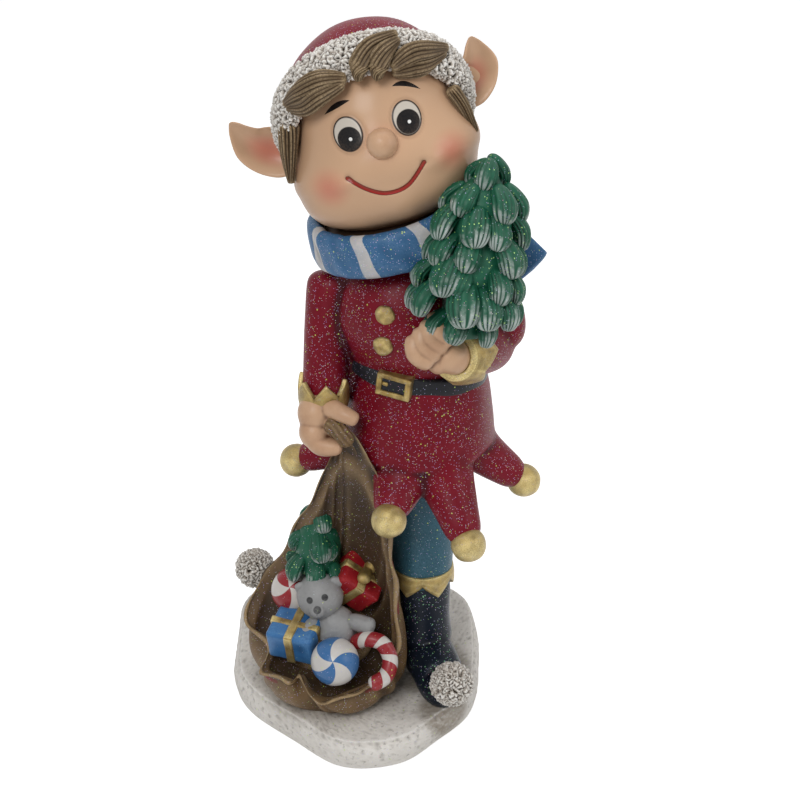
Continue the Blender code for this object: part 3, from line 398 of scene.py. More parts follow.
def calc(tree_, operation, first, second=None, third=None, clamp=False):
    """A Math node; each operand is a number or a socket."""
    node = add(tree_, "Math", operation=operation, use_clamp=clamp)
    for slot_, operand in enumerate((first, second, third)):
        if operand is None:
            continue
        if isinstance(operand, (int, float)):
            node.inputs[slot_].default_value = operand
        else:
            tree_.links.new(operand, node.inputs[slot_])
    return node.outputs[0]


def mixed(tree_, share, first, second, mode="MIX"):
    """A colour mix; the share, and either colour, is a value or a socket."""
    node = add(tree_, "Mix", data_type="RGBA", blend_type=mode)
    for socket, operand in ((node.inputs[0], share), (node.inputs[6], first), (node.inputs[7], second)):
        if isinstance(operand, (int, float)):
            socket.default_value = operand
        elif isinstance(operand, tuple):
            socket.default_value = (*operand, 1.0)
        else:
            tree_.links.new(operand, socket)
    return node.outputs[2]


def noted(tree_, name):
    """The number that was noted on the mesh under this name."""
    return add(tree_, "Attribute", attribute_name=name).outputs["Fac"]


def step_mask(tree_, value, low, high):
    """0 below low, 1 above high, smooth between."""
    node = add(tree_, "MapRange", interpolation_type="SMOOTHSTEP")
    tree_.links.new(value, node.inputs[0])
    node.inputs[1].default_value = low
    node.inputs[2].default_value = high
    return node.outputs[0]


blotch_tree, start, end = group("paint blotches", [("Place", "NodeSocketVector", None),
                                                  ("Scale", "NodeSocketFloat", 60.0)],
                                [("Blotch", "NodeSocketFloat"), ("Grain", "NodeSocketFloat")])
slow = add(blotch_tree, "TexNoise")
slow.inputs["Detail"].default_value = 4.0
slow.inputs["Roughness"].default_value = 0.6
fast = add(blotch_tree, "TexNoise")
fast.inputs["Detail"].default_value = 5.0
fast.inputs["Roughness"].default_value = 0.7
blotch_tree.links.new(start.outputs["Place"], slow.inputs["Vector"])
blotch_tree.links.new(start.outputs["Place"], fast.inputs["Vector"])
blotch_tree.links.new(start.outputs["Scale"], slow.inputs["Scale"])
blotch_tree.links.new(calc(blotch_tree, "MULTIPLY", start.outputs["Scale"], 14.0), fast.inputs["Scale"])
blotch_tree.links.new(step_mask(blotch_tree, slow.outputs["Fac"], 0.36, 0.64), end.inputs["Blotch"])
blotch_tree.links.new(fast.outputs["Fac"], end.inputs["Grain"])

glitter_tree, start, end = group("glitter flakes", [("Place", "NodeSocketVector", None),
                                                   ("Scale", "NodeSocketFloat", 700.0),
                                                   ("Amount", "NodeSocketFloat", 0.2),
                                                   ("Size", "NodeSocketFloat", 0.35)],
                                 [("Flake", "NodeSocketFloat"), ("Tint", "NodeSocketColor")])
cells = add(glitter_tree, "TexVoronoi", feature="F1")
glitter_tree.links.new(start.outputs["Place"], cells.inputs["Vector"])
glitter_tree.links.new(start.outputs["Scale"], cells.inputs["Scale"])
chance = add(glitter_tree, "SeparateColor")
glitter_tree.links.new(cells.outputs["Color"], chance.inputs[0])
chosen = calc(glitter_tree, "LESS_THAN", chance.outputs[0], start.outputs["Amount"])
near = calc(glitter_tree, "LESS_THAN", cells.outputs["Distance"], start.outputs["Size"])
glitter_tree.links.new(calc(glitter_tree, "MULTIPLY", chosen, near), end.inputs["Flake"])
hues = add(glitter_tree, "ValToRGB")
hues.color_ramp.interpolation = "CONSTANT"
flake_tints = ((0.0, (0.62, 0.60, 0.95)), (0.24, (0.85, 0.80, 0.90)), (0.45, (0.45, 0.38, 0.85)),
               (0.62, (0.90, 0.45, 0.65)), (0.76, (0.60, 0.85, 0.95)), (0.88, (0.62, 0.95, 0.30)))
while len(hues.color_ramp.elements) < len(flake_tints):
    hues.color_ramp.elements.new(0.5)
for element, (place, tint) in zip(hues.color_ramp.elements, flake_tints):
    element.position = place
    element.color = (*tint, 1.0)
glitter_tree.links.new(chance.outputs[1], hues.inputs[0])
glitter_tree.links.new(hues.outputs[0], end.inputs["Tint"])
print("groups:", [g.name for g in bpy.data.node_groups])


# %% [markdown]
# The recipe itself puts the groups into a material.  A paint that shows a
# pattern, such as the stripes of the scarf, hands in a pattern rule, which
# returns the body colour that the washes then go over.


# %% The paint recipe
def paint(name, colour, dark, light, rough=0.45, metal=0.0, wash=0.8, brush=0.5, blotch=0.25,
          flakes=0.0, flake_scale=1250.0, flake_size=0.28, sparks=0.0, spark_tint=(0.58, 0.74, 0.14),
          grain=0.15, scale=60.0, coat=0.0, specular=0.25, pattern=None, blotch_tint=None):
    """A hand-painted finish; colours are linear and depths are in millimetres."""
    material = bpy.data.materials.new(name)
    material.use_nodes = True
    material.diffuse_color = (*colour, 1.0)
    tree_ = material.node_tree
    shader_ = tree_.nodes["Principled BSDF"]
    set_inputs(shader_, {"Metallic": metal, "Specular IOR Level": specular, "Coat Weight": coat,
                         "Coat Roughness": 0.22})
    place = add(tree_, "TexCoord").outputs["Object"]
    soil = add(tree_, "Group", node_tree=blotch_tree)
    soil.inputs["Scale"].default_value = scale
    tree_.links.new(place, soil.inputs["Place"])
    body = pattern(tree_) if pattern else colour
    tinted = mixed(tree_, calc(tree_, "MULTIPLY", soil.outputs["Blotch"], blotch), body,
                   blotch_tint or tuple(c * 0.55 for c in colour))
    hollow = noted(tree_, "hollow")
    ridge = noted(tree_, "ridge")
    broken = step_mask(tree_, soil.outputs["Grain"], 0.30, 0.62)
    washed = mixed(tree_, calc(tree_, "MULTIPLY", hollow, wash, clamp=True), tinted, dark)
    dry = calc(tree_, "MULTIPLY", calc(tree_, "MULTIPLY", ridge, brush), broken, clamp=True)
    brushed = mixed(tree_, dry, washed, light)
    rough_out = calc(tree_, "MULTIPLY_ADD", soil.outputs["Grain"], 0.25, rough - 0.12)
    if flakes:
        dust = add(tree_, "Group", node_tree=glitter_tree)
        set_inputs(dust, {"Scale": flake_scale, "Amount": flakes, "Size": flake_size})
        tree_.links.new(place, dust.inputs["Place"])
        cover = calc(tree_, "MULTIPLY", dust.outputs["Flake"], 0.72)
        brushed = mixed(tree_, cover, brushed, dust.outputs["Tint"])
        rough_out = calc(tree_, "MULTIPLY_ADD", dust.outputs["Flake"], -0.2, rough_out, clamp=True)
    if sparks:
        spark = add(tree_, "Group", node_tree=glitter_tree)
        set_inputs(spark, {"Scale": flake_scale * 0.62, "Size": 0.32})
        tree_.links.new(place, spark.inputs["Place"])
        tree_.links.new(calc(tree_, "MULTIPLY_ADD", soil.outputs["Blotch"], sparks * 2.0, sparks * 0.1),
                        spark.inputs["Amount"])
        brushed = mixed(tree_, spark.outputs["Flake"], brushed, spark_tint)
        rough_out = calc(tree_, "MULTIPLY_ADD", spark.outputs["Flake"], -0.2, rough_out, clamp=True)
    tree_.links.new(brushed, shader_.inputs["Base Color"])
    tree_.links.new(rough_out, shader_.inputs["Roughness"])
    bump = add(tree_, "Bump")
    bump.inputs["Strength"].default_value = 0.6
    bump.inputs["Distance"].default_value = grain * 0.001
    tree_.links.new(soil.outputs["Grain"], bump.inputs["Height"])
    tree_.links.new(bump.outputs["Normal"], shader_.inputs["Normal"])
    return material


def finish_piece(piece, material, slot, reach=8, depth=0.0004):
    """Paint a piece, measure its hollows and hang it on the frame."""
    weather(piece, reach, depth)
    piece.data.materials.clear()
    piece.data.materials.append(material)
    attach(piece, "root")
    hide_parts("elf_figurine")
    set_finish(piece, slot)
    print(piece.name, len(piece.data.polygons), "faces")
    return piece


FLESH = (0.575, 0.362, 0.225)
SCARF_BLUE = (0.032, 0.115, 0.245)
SNOW_PALE = (0.74, 0.705, 0.655)
FIR_GREEN = (0.008, 0.085, 0.045)
SACK_CLOTH = (0.155, 0.092, 0.040)
BEAR_FUR = (0.30, 0.30, 0.30)
crimson = paint("crimson glitter", (0.165, 0.0028, 0.012), (0.035, 0.001, 0.004), (0.30, 0.015, 0.04),
                rough=0.40, wash=0.9, brush=0.2, blotch=0.4, flakes=0.30, sparks=0.022, specular=0.15)
skin = paint("flesh", FLESH, (0.12, 0.055, 0.028), (0.70, 0.48, 0.33), rough=0.32,
             wash=1.1, brush=0.2, blotch=0.45, blotch_tint=(0.40, 0.215, 0.125), grain=0.3, coat=0.15,
             specular=0.15)
gold = paint("old gold", (0.34, 0.23, 0.065), (0.05, 0.028, 0.008), (0.72, 0.60, 0.28), rough=0.36,
             metal=0.55, wash=1.0, brush=0.9, blotch=0.75, blotch_tint=(0.13, 0.08, 0.022), grain=0.6,
             scale=160.0, specular=0.5, flakes=0.10)
fur = paint("combed fur", (0.50, 0.44, 0.375), (0.020, 0.012, 0.006), (0.92, 0.90, 0.86), rough=0.62,
            wash=1.3, brush=1.3, blotch=0.3, grain=0.4, scale=120.0)
black = paint("belt black", (0.009, 0.010, 0.014), (0.003, 0.003, 0.004), (0.04, 0.04, 0.045),
              rough=0.36, flakes=0.14, sparks=0.02, specular=0.15)
trouser = paint("teal trousers", (0.018, 0.072, 0.105), (0.005, 0.020, 0.03), (0.08, 0.20, 0.27),
                rough=0.40, flakes=0.16, sparks=0.015, specular=0.2)
navy = paint("boot navy", (0.004, 0.007, 0.015), (0.002, 0.003, 0.006), (0.02, 0.035, 0.045),
             rough=0.36, flakes=0.18, sparks=0.07, spark_tint=(0.22, 0.50, 0.26), specular=0.16)

# %% [markdown]
# ## The slab of snow
# The base is a thick slab with a wavy outline, a rounded shoulder and a rough,
# pressed surface.  Its outline is a closed curve through a few places, and the
# roughness comes from noise on a fine mesh.  A painted brown shadow darkens the snow round the feet
# and the sack, so the painted mask is measured from those places.

# %% Snow
SNOW_THICKNESS = 0.022
SNOW_WIDTH = 0.176
SNOW_DEPTH = 0.1882
SNOW_CENTRE_X = -0.017
BOOT_HEIGHT = 0.078
FIGURE_HEIGHT = 0.470
FIGURE_WIDTH = 0.2105
HIP_TO_WAIST = 0.072
WAIST_TO_NECK = 0.077
NECK_TO_HEAD = 0.0637
CROWN_RISE = 0.0723
snow_top = SNOW_THICKNESS
boot_top = snow_top + BOOT_HEIGHT
trouser_length = FIGURE_HEIGHT - (SNOW_THICKNESS + BOOT_HEIGHT + HIP_TO_WAIST + WAIST_TO_NECK
                                  + NECK_TO_HEAD + CROWN_RISE)
hip_z = boot_top + trouser_length
waist_z = hip_z + HIP_TO_WAIST
neck_z = waist_z + WAIST_TO_NECK
head_z = neck_z + NECK_TO_HEAD

snow_outline = [(0.98, 0.02), (0.90, -0.42), (0.64, -0.72), (0.34, -0.97), (-0.10, -1.0),
                (-0.48, -0.72), (-0.84, -0.40), (-0.98, -0.08), (-1.0, 0.44), (-0.98, 0.82),
                (-0.74, 0.98), (-0.1, 1.0), (0.60, 0.99), (0.88, 0.86), (0.98, 0.52)]
snow_outline = [Vector((x * SNOW_WIDTH / 2 + SNOW_CENTRE_X, y * SNOW_DEPTH / 2, 0))
                for x, y in reversed(snow_outline)]
snow_centre = Vector((SNOW_CENTRE_X, 0, 0))


def snow_place(turn, rise):
    """Under the slab, up its side, over its shoulder and in across its top."""
    rim = around(snow_outline, turn / math.tau)
    if rise < 0.12:
        inset, level = 1.0 - rise / 0.12 * 0.96, 0.0
    elif rise < 0.42:
        level = (rise - 0.12) / 0.30
        inset = 0.05 * (1.0 - math.sin(math.pi * min(level * 1.15, 1.0)) ** 0.5)
    else:
        level = 1.0 + 0.02 * (rise - 0.42)
        inset = 0.05 + 0.95 * (rise - 0.42) / 0.58
    spot = rim.lerp(snow_centre, min(inset, 1.0))
    return Vector((spot.x, spot.y, min(level, 1.02) * SNOW_THICKNESS))


snow = form("snow_base", 240, 90, snow_place)
snow_smear = snow.modifiers.new("smear", "SMOOTH")
snow_smear.factor = 0.5
snow_smear.iterations = 6
settle(snow)


def snow_lumps(spot):
    """Pressed, grainy snow: slow swells and small pits; the underside stays flat."""
    if spot.z < 0.0015:
        return 0.0
    swell = noise.noise(spot * 38.0) * 0.0009
    pits = max(0.0, noise.noise(spot * 300.0) - 0.15) * -0.0009
    grit = noise.noise(spot * 620.0) * 0.00035
    return (swell + pits + grit - 0.0006) * min(1.0, (spot.z - 0.0015) / 0.004)


push(snow, snow_lumps)
print("snow slab", round(SNOW_WIDTH, 3), "by", round(SNOW_DEPTH, 3), "m")

# %% [markdown]
# ## Legs and boots
# The legs are two limbs: one stands under the body, the other rests behind with
# its toe out to the side.  The trousers have soft creases, the boots are melted
# from a shaft and a foot that curls up to a furry pompom, and a gold cuff with
# pointed teeth hangs over each boot.

# %% Legs, boots, cuffs and pompoms
STANDING_KNEE = (0.028, -0.004)
STANDING_ANKLE = (0.0295, -0.006)
RESTING_KNEE = (-0.010, 0.032)
RESTING_ANKLE = (-0.0335, 0.054)
TROUSER_RADIUS = 0.0195
BOOT_RADIUS = 0.0185
BOOT_LENGTH = 0.052
TOE_CURL = 0.014
BOOT_CUFF_HEIGHT = 0.013
POMPOM_RADIUS = 0.0148
WAIST_CENTRE = (0.0245, 0.002)


def nubs(size, height):
    """A rule for combed fur: curled, uneven tufts with narrow clefts and a few deep pits."""
    def depth(spot):
        bent = spot + noise.noise_vector(spot / size * 1.3) * size * 0.85
        near, second = noise.voronoi(bent / size)[0][:2]
        cleft = min((second - near) * 1.9, 1.0)
        pit = max(0.0, noise.noise(spot / size * 0.9 + Vector((7.0, 3.0, 5.0))) - 0.22)
        return height * (cleft ** 0.6 - 0.70 - 2.6 * pit) + noise.noise(bent / size * 2.2) * height * 0.4
    return depth


def pompom(name, centre):
    """A ball of combed fur."""
    piece = ball(name, centre, POMPOM_RADIUS - 0.0003, sides=150, rings=100)
    push(piece, nubs(0.0040, 0.0018))
    return finish_piece(piece, fur, "fur_paint", reach=14, depth=0.0005)


def toothed_cuff(name, place, inner, outer, height, teeth, tooth_depth, flare=0.0, sides=144):
    """A gold cuff whose one edge is cut into pointed teeth, with a rounded rim."""
    rounds = [(inner, -0.02), (outer - 0.0004, 0.0), (outer, 0.08), (outer * 1.03, 0.4), (outer * 1.03, 0.8),
              (outer + 0.0002, 0.97), (outer - 0.0004, 1.0), (inner, 0.98)]

    def band(turn, round_):
        share = (round_ / math.tau + 1.0) % 1.0
        at = share * (len(rounds) - 1)
        low = min(int(at), len(rounds) - 2)
        radius, level = (rounds[low][k] + (rounds[low + 1][k] - rounds[low][k]) * (at - low) for k in (0, 1))
        radius *= 1.0 + flare * max(0.0, level)
        saw = abs((turn / math.tau * teeth) % 1.0 * 2.0 - 1.0)
        return place @ Vector((radius * math.cos(turn), radius * math.sin(turn),
                               level * (height + tooth_depth * saw)))

    return finish_piece(hoop(name, sides, 28, band), gold, "gold_paint", reach=10, depth=0.0003)


def leg(side, knee, foot, toe_turn, curl):
    """One leg from the hip to the pompom on the toe."""
    toe_turn = math.radians(toe_turn)
    ahead = Vector((math.sin(toe_turn), -math.cos(toe_turn), 0))
    ankle = Vector((*foot, snow_top)) + ahead * 0.006
    hip = Vector((WAIST_CENTRE[0] + (knee[0] - WAIST_CENTRE[0]) * 0.6, knee[1] * 0.7, hip_z))
    top = Vector((*knee, boot_top))
    cloth = limb(f"{side}_trouser", [top - Vector((0, 0, 0.02)), top, (top + hip) / 2, hip],
                 [TROUSER_RADIUS * 0.90, TROUSER_RADIUS * 1.04, TROUSER_RADIUS * 1.09, TROUSER_RADIUS * 1.12],
                 sides=72, rings=110, flat=0.93)
    push(cloth, lambda p: noise.noise(Vector((p.x * 50, p.y * 50, p.z * 22))) * 0.0011)
    finish_piece(cloth, trouser, "trouser_paint", reach=16, depth=0.0004)
    heel = ankle + Vector((0, 0, BOOT_RADIUS * 0.75))
    shaft = limb("shaft", [heel, (heel + top) / 2, top],
                 [BOOT_RADIUS, BOOT_RADIUS * 0.95, BOOT_RADIUS * 1.08])
    toe = ankle + ahead * (BOOT_LENGTH * 0.72) + Vector((0, 0, BOOT_RADIUS * 0.62))
    tip = ankle + ahead * BOOT_LENGTH * 0.92 + Vector((0, 0, BOOT_RADIUS * 0.62 + curl))
    sole = limb("foot", [heel - ahead * 0.012, heel + ahead * 0.016, toe, tip],
                [BOOT_RADIUS * 0.92, BOOT_RADIUS * 0.95, BOOT_RADIUS * 0.82, BOOT_RADIUS * 0.45],
                wide=(-ahead.y, ahead.x, 0))
    boot = melt(f"{side}_boot", [shaft, sole], 0.0011, 14)
    roughen(boot, 55, 0.0009)
    finish_piece(boot, navy, "boot_paint", reach=14, depth=0.0004)
    down = leaning(top + Vector((0, 0, 0.003)), top - Vector((0, 0, 1)))
    toothed_cuff(f"{side}_boot_cuff", down, BOOT_RADIUS * 0.9, BOOT_RADIUS * 1.14,
                 BOOT_CUFF_HEIGHT * 0.5, 6, BOOT_CUFF_HEIGHT * 0.75)
    pompom(f"{side}_pompom", tip + ahead * POMPOM_RADIUS * 0.45)
    return heel, tip


standing = leg("standing", STANDING_KNEE, STANDING_ANKLE, 17, TOE_CURL)
resting = leg("resting", RESTING_KNEE, RESTING_ANKLE, -102, TOE_CURL * 1.2)


def snow_pattern(tree_):
    """Off-white with brown speckles, and painted brown shadow near the feet and the sack."""
    place = add(tree_, "TexCoord").outputs["Object"]
    # Painted shadow: the snow darkens to brown within a reach of the heels, the toe and the sack.
    contact_shadow_shares = []
    for spot, reach in ((standing[0], 0.030), (standing[1], 0.020), (resting[0], 0.028),
                        (Vector((-0.032, -0.018, snow_top)), 0.048)):
        gap = add(tree_, "VectorMath", operation="DISTANCE")
        tree_.links.new(place, gap.inputs[0])
        gap.inputs[1].default_value = (spot.x, spot.y, snow_top)
        contact_shadow_shares.append(step_mask(tree_, gap.outputs["Value"], reach * 1.25, reach * 0.75))
    near = calc(tree_, "MAXIMUM", calc(tree_, "MAXIMUM", contact_shadow_shares[0], contact_shadow_shares[1]),
                calc(tree_, "MAXIMUM", contact_shadow_shares[2], contact_shadow_shares[3]))
    fleck = add(tree_, "TexNoise")
    tree_.links.new(place, fleck.inputs["Vector"])
    set_inputs(fleck, {"Scale": 420.0, "Detail": 3.0})
    specks = step_mask(tree_, fleck.outputs["Fac"], 0.60, 0.68)
    pale = mixed(tree_, calc(tree_, "MULTIPLY", specks, 0.55), SNOW_PALE, (0.26, 0.23, 0.20))
    return mixed(tree_, calc(tree_, "MULTIPLY", near, 0.75), pale, (0.20, 0.155, 0.105))


snow_white = paint("snow grit", SNOW_PALE, (0.17, 0.145, 0.12), (0.90, 0.88, 0.85), rough=0.60,
                   wash=0.7, brush=0.7, blotch=0.2, blotch_tint=(0.52, 0.48, 0.43), flakes=0.10, sparks=0.008,
                   grain=0.5, pattern=snow_pattern)
finish_piece(snow, snow_white, "snow_paint", reach=6, depth=0.0005)

# %% [markdown]
# ## The coat
# Chest, sleeves, skirt and the long petals of the hem are one cloth, so they are
# melted together from limbs and a bell, as the sculptor smeared them.  The
# petals are horns that taper into gold balls.  The crimson paint is full of fine
# glitter, and its folds are shallow.

# %% Chest, skirt, petals and sleeves
WAIST_RADIUS = 0.0415
CHEST_RADIUS = 0.047
NECK_RADIUS = 0.038
LEAN = -0.0175
SKIRT_LENGTH = 0.060
HIP_RADIUS = 0.0505
PETALS = ((-98, 0.080, 0.024), (-16, 0.066, 0.023), (25, 0.073, 0.039), (88, 0.069, 0.031),
          (133, 0.062, 0.030), (172, 0.064, 0.028), (-144, 0.068, 0.026))
PETAL_RADIUS = 0.0195
HEM_BALL_RADIUS = 0.0108
SLEEVE_RADIUS = 0.0142
ELBOW_RADIUS = 0.0178
CUFF_HEIGHT = 0.018
CUFF_THICKNESS = 0.0014
hem_z = waist_z - SKIRT_LENGTH
neck_x = WAIST_CENTRE[0] + LEAN
waist = Vector((*WAIST_CENTRE, waist_z))
neck = Vector((neck_x, 0.0, neck_z))

lumps = [limb("chest", [waist - Vector((0, 0, 0.03)), waist,
                        waist.lerp(neck, 0.55) + Vector((0.001, -0.001, 0)), neck],
              [WAIST_RADIUS * 0.9, WAIST_RADIUS, CHEST_RADIUS, NECK_RADIUS], sides=64, rings=60, flat=0.95)]
bell = [(0.0, 0.16), (0.62, 0.10), (0.94, 0.0), (1.0, 0.06), (0.97, 0.30), (0.91, 0.62), (0.82, 0.95),
        (0.5, 1.15), (0.0, 1.17)]


def skirt_place(turn, rise):
    at = rise * (len(bell) - 1)
    low = min(int(at), len(bell) - 2)
    spread, level = (bell[low][k] + (bell[low + 1][k] - bell[low][k]) * (at - low) for k in (0, 1))
    radius = HIP_RADIUS * spread * (WAIST_RADIUS / HIP_RADIUS / 0.82 if level > 0.95 else 1.0)
    return Vector((WAIST_CENTRE[0] + radius * math.cos(turn), WAIST_CENTRE[1] + radius * math.sin(turn),
                   hem_z + level * SKIRT_LENGTH))


lumps.append(form("skirt", 96, 48, skirt_place))
hem_tips = []
for turn, reach, drop in PETALS:
    out = Vector((math.sin(math.radians(turn)), -math.cos(math.radians(turn)), 0))
    middle = Vector((*WAIST_CENTRE, hem_z))
    tip = middle + out * reach - Vector((0, 0, drop))
    root = middle + out * (HIP_RADIUS - PETAL_RADIUS * 1.3) + Vector((0, 0, SKIRT_LENGTH * 0.45))
    knee = middle + out * (HIP_RADIUS - PETAL_RADIUS + (reach - HIP_RADIUS) * 0.35)
    knee.z -= drop * 0.15
    lumps.append(limb("petal", [root, knee, tip], [PETAL_RADIUS * 1.4, PETAL_RADIUS, HEM_BALL_RADIUS * 0.98],
                      flat=0.82, wide=(-out.y, out.x, 0)))
    hem_tips.append((tip, (tip - knee).normalized()))

hanging_shoulder = Vector((neck_x - 0.035, 0.004, neck_z - 0.020))
hanging_elbow = hanging_shoulder + Vector((-0.004, -0.012, -0.036))
hanging_wrist = Vector((-0.0345, -0.020, waist_z - 0.014))
bent_shoulder = Vector((neck_x + 0.056, 0.006, neck_z - 0.026))
bent_elbow = bent_shoulder + Vector((0.008, -0.016, -0.038))
bent_wrist = bent_elbow + Vector((-0.024, -0.042, 0.013))
lumps.append(limb("hanging_sleeve", [hanging_shoulder, hanging_elbow,
                                     hanging_wrist - Vector((0, 0, CUFF_HEIGHT * 0.6))],
                  [SLEEVE_RADIUS * 1.12, SLEEVE_RADIUS * 1.02, SLEEVE_RADIUS * 0.97]))
lumps.append(limb("flank", [hanging_shoulder + Vector((0.008, 0.004, 0)),
                            hanging_elbow + Vector((0.010, 0.008, 0)),
                            hanging_wrist + Vector((0.014, 0.013, -0.012))],
                  [SLEEVE_RADIUS * 0.9, SLEEVE_RADIUS * 0.9, SLEEVE_RADIUS * 0.85]))
lumps.append(limb("upper_sleeve", [bent_shoulder, bent_elbow + Vector((0.002, 0.003, 0.014)), bent_elbow],
                  [ELBOW_RADIUS, ELBOW_RADIUS, ELBOW_RADIUS * 0.97]))
lumps.append(limb("fore_sleeve", [bent_elbow - (bent_wrist - bent_elbow) * 0.2,
                                  (bent_elbow + bent_wrist) / 2, bent_wrist],
                  [ELBOW_RADIUS * 0.85, ELBOW_RADIUS * 0.95, SLEEVE_RADIUS], wide=(1, -0.5, 0)))
lumps.append(limb("shoulders", [hanging_shoulder, neck + Vector((0, 0.004, -0.016)), bent_shoulder],
                  [SLEEVE_RADIUS * 1.05, NECK_RADIUS * 0.62, ELBOW_RADIUS], wide=(0, 1, 0)))
coat = melt("coat", lumps, 0.0016, 7)
push(coat, lambda p: noise.noise(Vector((p.x * 42, p.y * 42, p.z * 17))) * 0.0010)
finish_piece(coat, crimson, "crimson_coat_paint", reach=24, depth=0.0005)
for number, (tip, heading) in enumerate(hem_tips):
    cap = ball(f"hem_ball_{number + 1}", tip + heading * 0.001, HEM_BALL_RADIUS * 1.02, sides=56, rings=40)
    roughen(cap, 170, 0.00035)
    finish_piece(cap, gold, "gold_paint", reach=6, depth=0.0002)

# %% [markdown]
# ## Belt, buckle and buttons
# The belt is a ring with a flat outer face, tilted as the elf's hips are.  The
# buckle is a real frame: four rounded bars and a pin round a dark plate.

# %% Belt, buckle and buttons
BELT_WIDTH = 0.0115
BELT_THICKNESS = 0.0036
BELT_TILT = 7.0
BELT_DROP = 0.0030
BUCKLE_WIDTH = 0.022
BUCKLE_HEIGHT = 0.015
BUTTON_RADIUS = 0.0062
tilt = Matrix.Rotation(math.radians(BELT_TILT), 3, "Y")
belt_centre = waist - Vector((0, 0, BELT_DROP))


def belt_place(turn, round_):
    c, s = math.cos(round_), math.sin(round_)
    lift = math.copysign(abs(s) ** 0.35, s) * BELT_WIDTH / 2
    radius = WAIST_RADIUS + BELT_THICKNESS * math.copysign(abs(c) ** 0.35, c) * (1.0 if c > 0 else 1.6)
    return belt_centre + tilt @ Vector((radius * math.cos(turn), radius * 0.95 * math.sin(turn), lift))


finish_piece(hoop("belt", 160, 24, belt_place), black, "belt_paint", reach=6, depth=0.0003)
BUCKLE_BAR = 0.0034
facing = math.radians(-20)
front = Vector((math.sin(facing), -math.cos(facing), 0))
buckle_spot = belt_centre + tilt @ front * (WAIST_RADIUS * 0.97)
buckle_frame = leaning(buckle_spot, buckle_spot + front)
across = buckle_frame.to_3x3() @ Vector((1, 0, 0))
buckle_turn = math.atan2(across.z, math.hypot(across.x, across.y))
buckle_frame = buckle_frame @ Matrix.Rotation(-buckle_turn - math.radians(BELT_TILT), 4, "Z")
buckle_frame = buckle_frame @ Matrix.Translation((0, 0, BELT_THICKNESS * 0.6))


def block(name, place, size, soft, cuts=4):
    """A box with rounded edges, cut finely enough to be pushed and weathered."""
    bm_ = bmesh.new()
    bmesh.ops.create_cube(bm_, size=1.0, matrix=Matrix.Diagonal((*size, 1)))
    bmesh.ops.bevel(bm_, geom=bm_.edges[:], offset=soft, offset_type="OFFSET", segments=3, profile=0.5,
                    affect="EDGES", material=-1)
    bmesh.ops.subdivide_edges(bm_, edges=bm_.edges[:], cuts=cuts, use_grid_fill=True)
    bmesh.ops.transform(bm_, matrix=place, verts=bm_.verts)
    return to_object(name, bm_)


for name, size, spot in (
        ("buckle_top", (BUCKLE_WIDTH, BUCKLE_BAR, 0.0088), (0, (BUCKLE_HEIGHT - BUCKLE_BAR) / 2, 0)),
        ("buckle_foot", (BUCKLE_WIDTH, BUCKLE_BAR, 0.0088), (0, (BUCKLE_BAR - BUCKLE_HEIGHT) / 2, 0)),
        ("buckle_left", (0.0036, BUCKLE_HEIGHT, 0.0092), (0.0018 - BUCKLE_WIDTH / 2, 0, 0)),
        ("buckle_right", (0.0036, BUCKLE_HEIGHT, 0.0092), (BUCKLE_WIDTH / 2 - 0.0018, 0, 0)),
        ("buckle_pin", (0.0040, 0.0024, 0.0084), (-0.0055, 0.0004, 0))):
    bar = block(name, buckle_frame @ Matrix.Translation(spot), size, 0.0009)
    roughen(bar, 300, 0.00025)
    finish_piece(bar, gold, "gold_paint", reach=6, depth=0.0003)
window_size = (BUCKLE_WIDTH - 0.004, BUCKLE_HEIGHT - 0.004, 0.0062)
window = block("buckle_window", buckle_frame, window_size, 0.0004, 2)
finish_piece(window, black, "belt_paint")
for number, (share, aside, reach) in enumerate(((0.345, 0.0, 0.965), (0.60, 0.005, 0.92))):
    spot = waist.lerp(neck, share) + Vector((aside, 0, 0)) + front * (CHEST_RADIUS * reach + 0.0004)
    button = ball(f"button_{number + 1}", spot, BUTTON_RADIUS, sides=48, rings=30,
                  stretch=(1, 0.5, 1), turned=Matrix.Rotation(facing, 4, "Z"))
    roughen(button, 260, 0.0004)
    finish_piece(button, gold, "gold_paint", reach=6, depth=0.0002)

# %% [markdown]
# ## Cuffs and hands
# Each hand is melted from a palm, fingers and a thumb, with shallow furrows
# between the fingers.  One grips the drawn-up cloth of the sack, and the other
# supports the little fir, with its heel filling the flared cuff.

# %% Cuffs and hands
HAND_RADIUS = 0.0132
FINGER_RADIUS = 0.0062
hanging_frame = leaning(hanging_wrist - Vector((0, 0, CUFF_HEIGHT * 0.55)),
                        hanging_wrist + Vector((-0.002, 0, 1)), 10)
toothed_cuff("hanging_cuff", hanging_frame, SLEEVE_RADIUS * 0.85, SLEEVE_RADIUS + CUFF_THICKNESS,
             CUFF_HEIGHT * 0.6, 6, CUFF_HEIGHT * 0.5)
grip = Vector((-0.035, -0.026, waist_z - 0.038))
fingers = [limb("palm", [hanging_wrist, grip + Vector((-0.002, 0.0, 0.010)),
                         grip + Vector((-0.001, -0.004, 0.002))],
                [HAND_RADIUS * 1.05, HAND_RADIUS, HAND_RADIUS * 0.82], flat=0.85),
           limb("thumb", [grip + Vector((0.002, -0.004, 0.018)), grip + Vector((0.013, -0.014, 0.0175)),
                          grip + Vector((0.0225, -0.018, 0.0145))],
                [FINGER_RADIUS * 1.1, FINGER_RADIUS * 0.9, FINGER_RADIUS * 0.7], sides=24, rings=24)]
for number in range(2):
    drop = Vector((0.0, 0.009 * number, -0.001 * number))
    fingers.append(limb("finger", [grip + drop + Vector((-0.008, -0.006, 0.004)),
                                   grip + drop + Vector((-0.001, -0.013, -0.005)),
                                   grip + drop + Vector((0.0125, -0.016, -0.0050))],
                        [FINGER_RADIUS * 1.3, FINGER_RADIUS * 1.1, FINGER_RADIUS * 0.75], sides=24, rings=24))
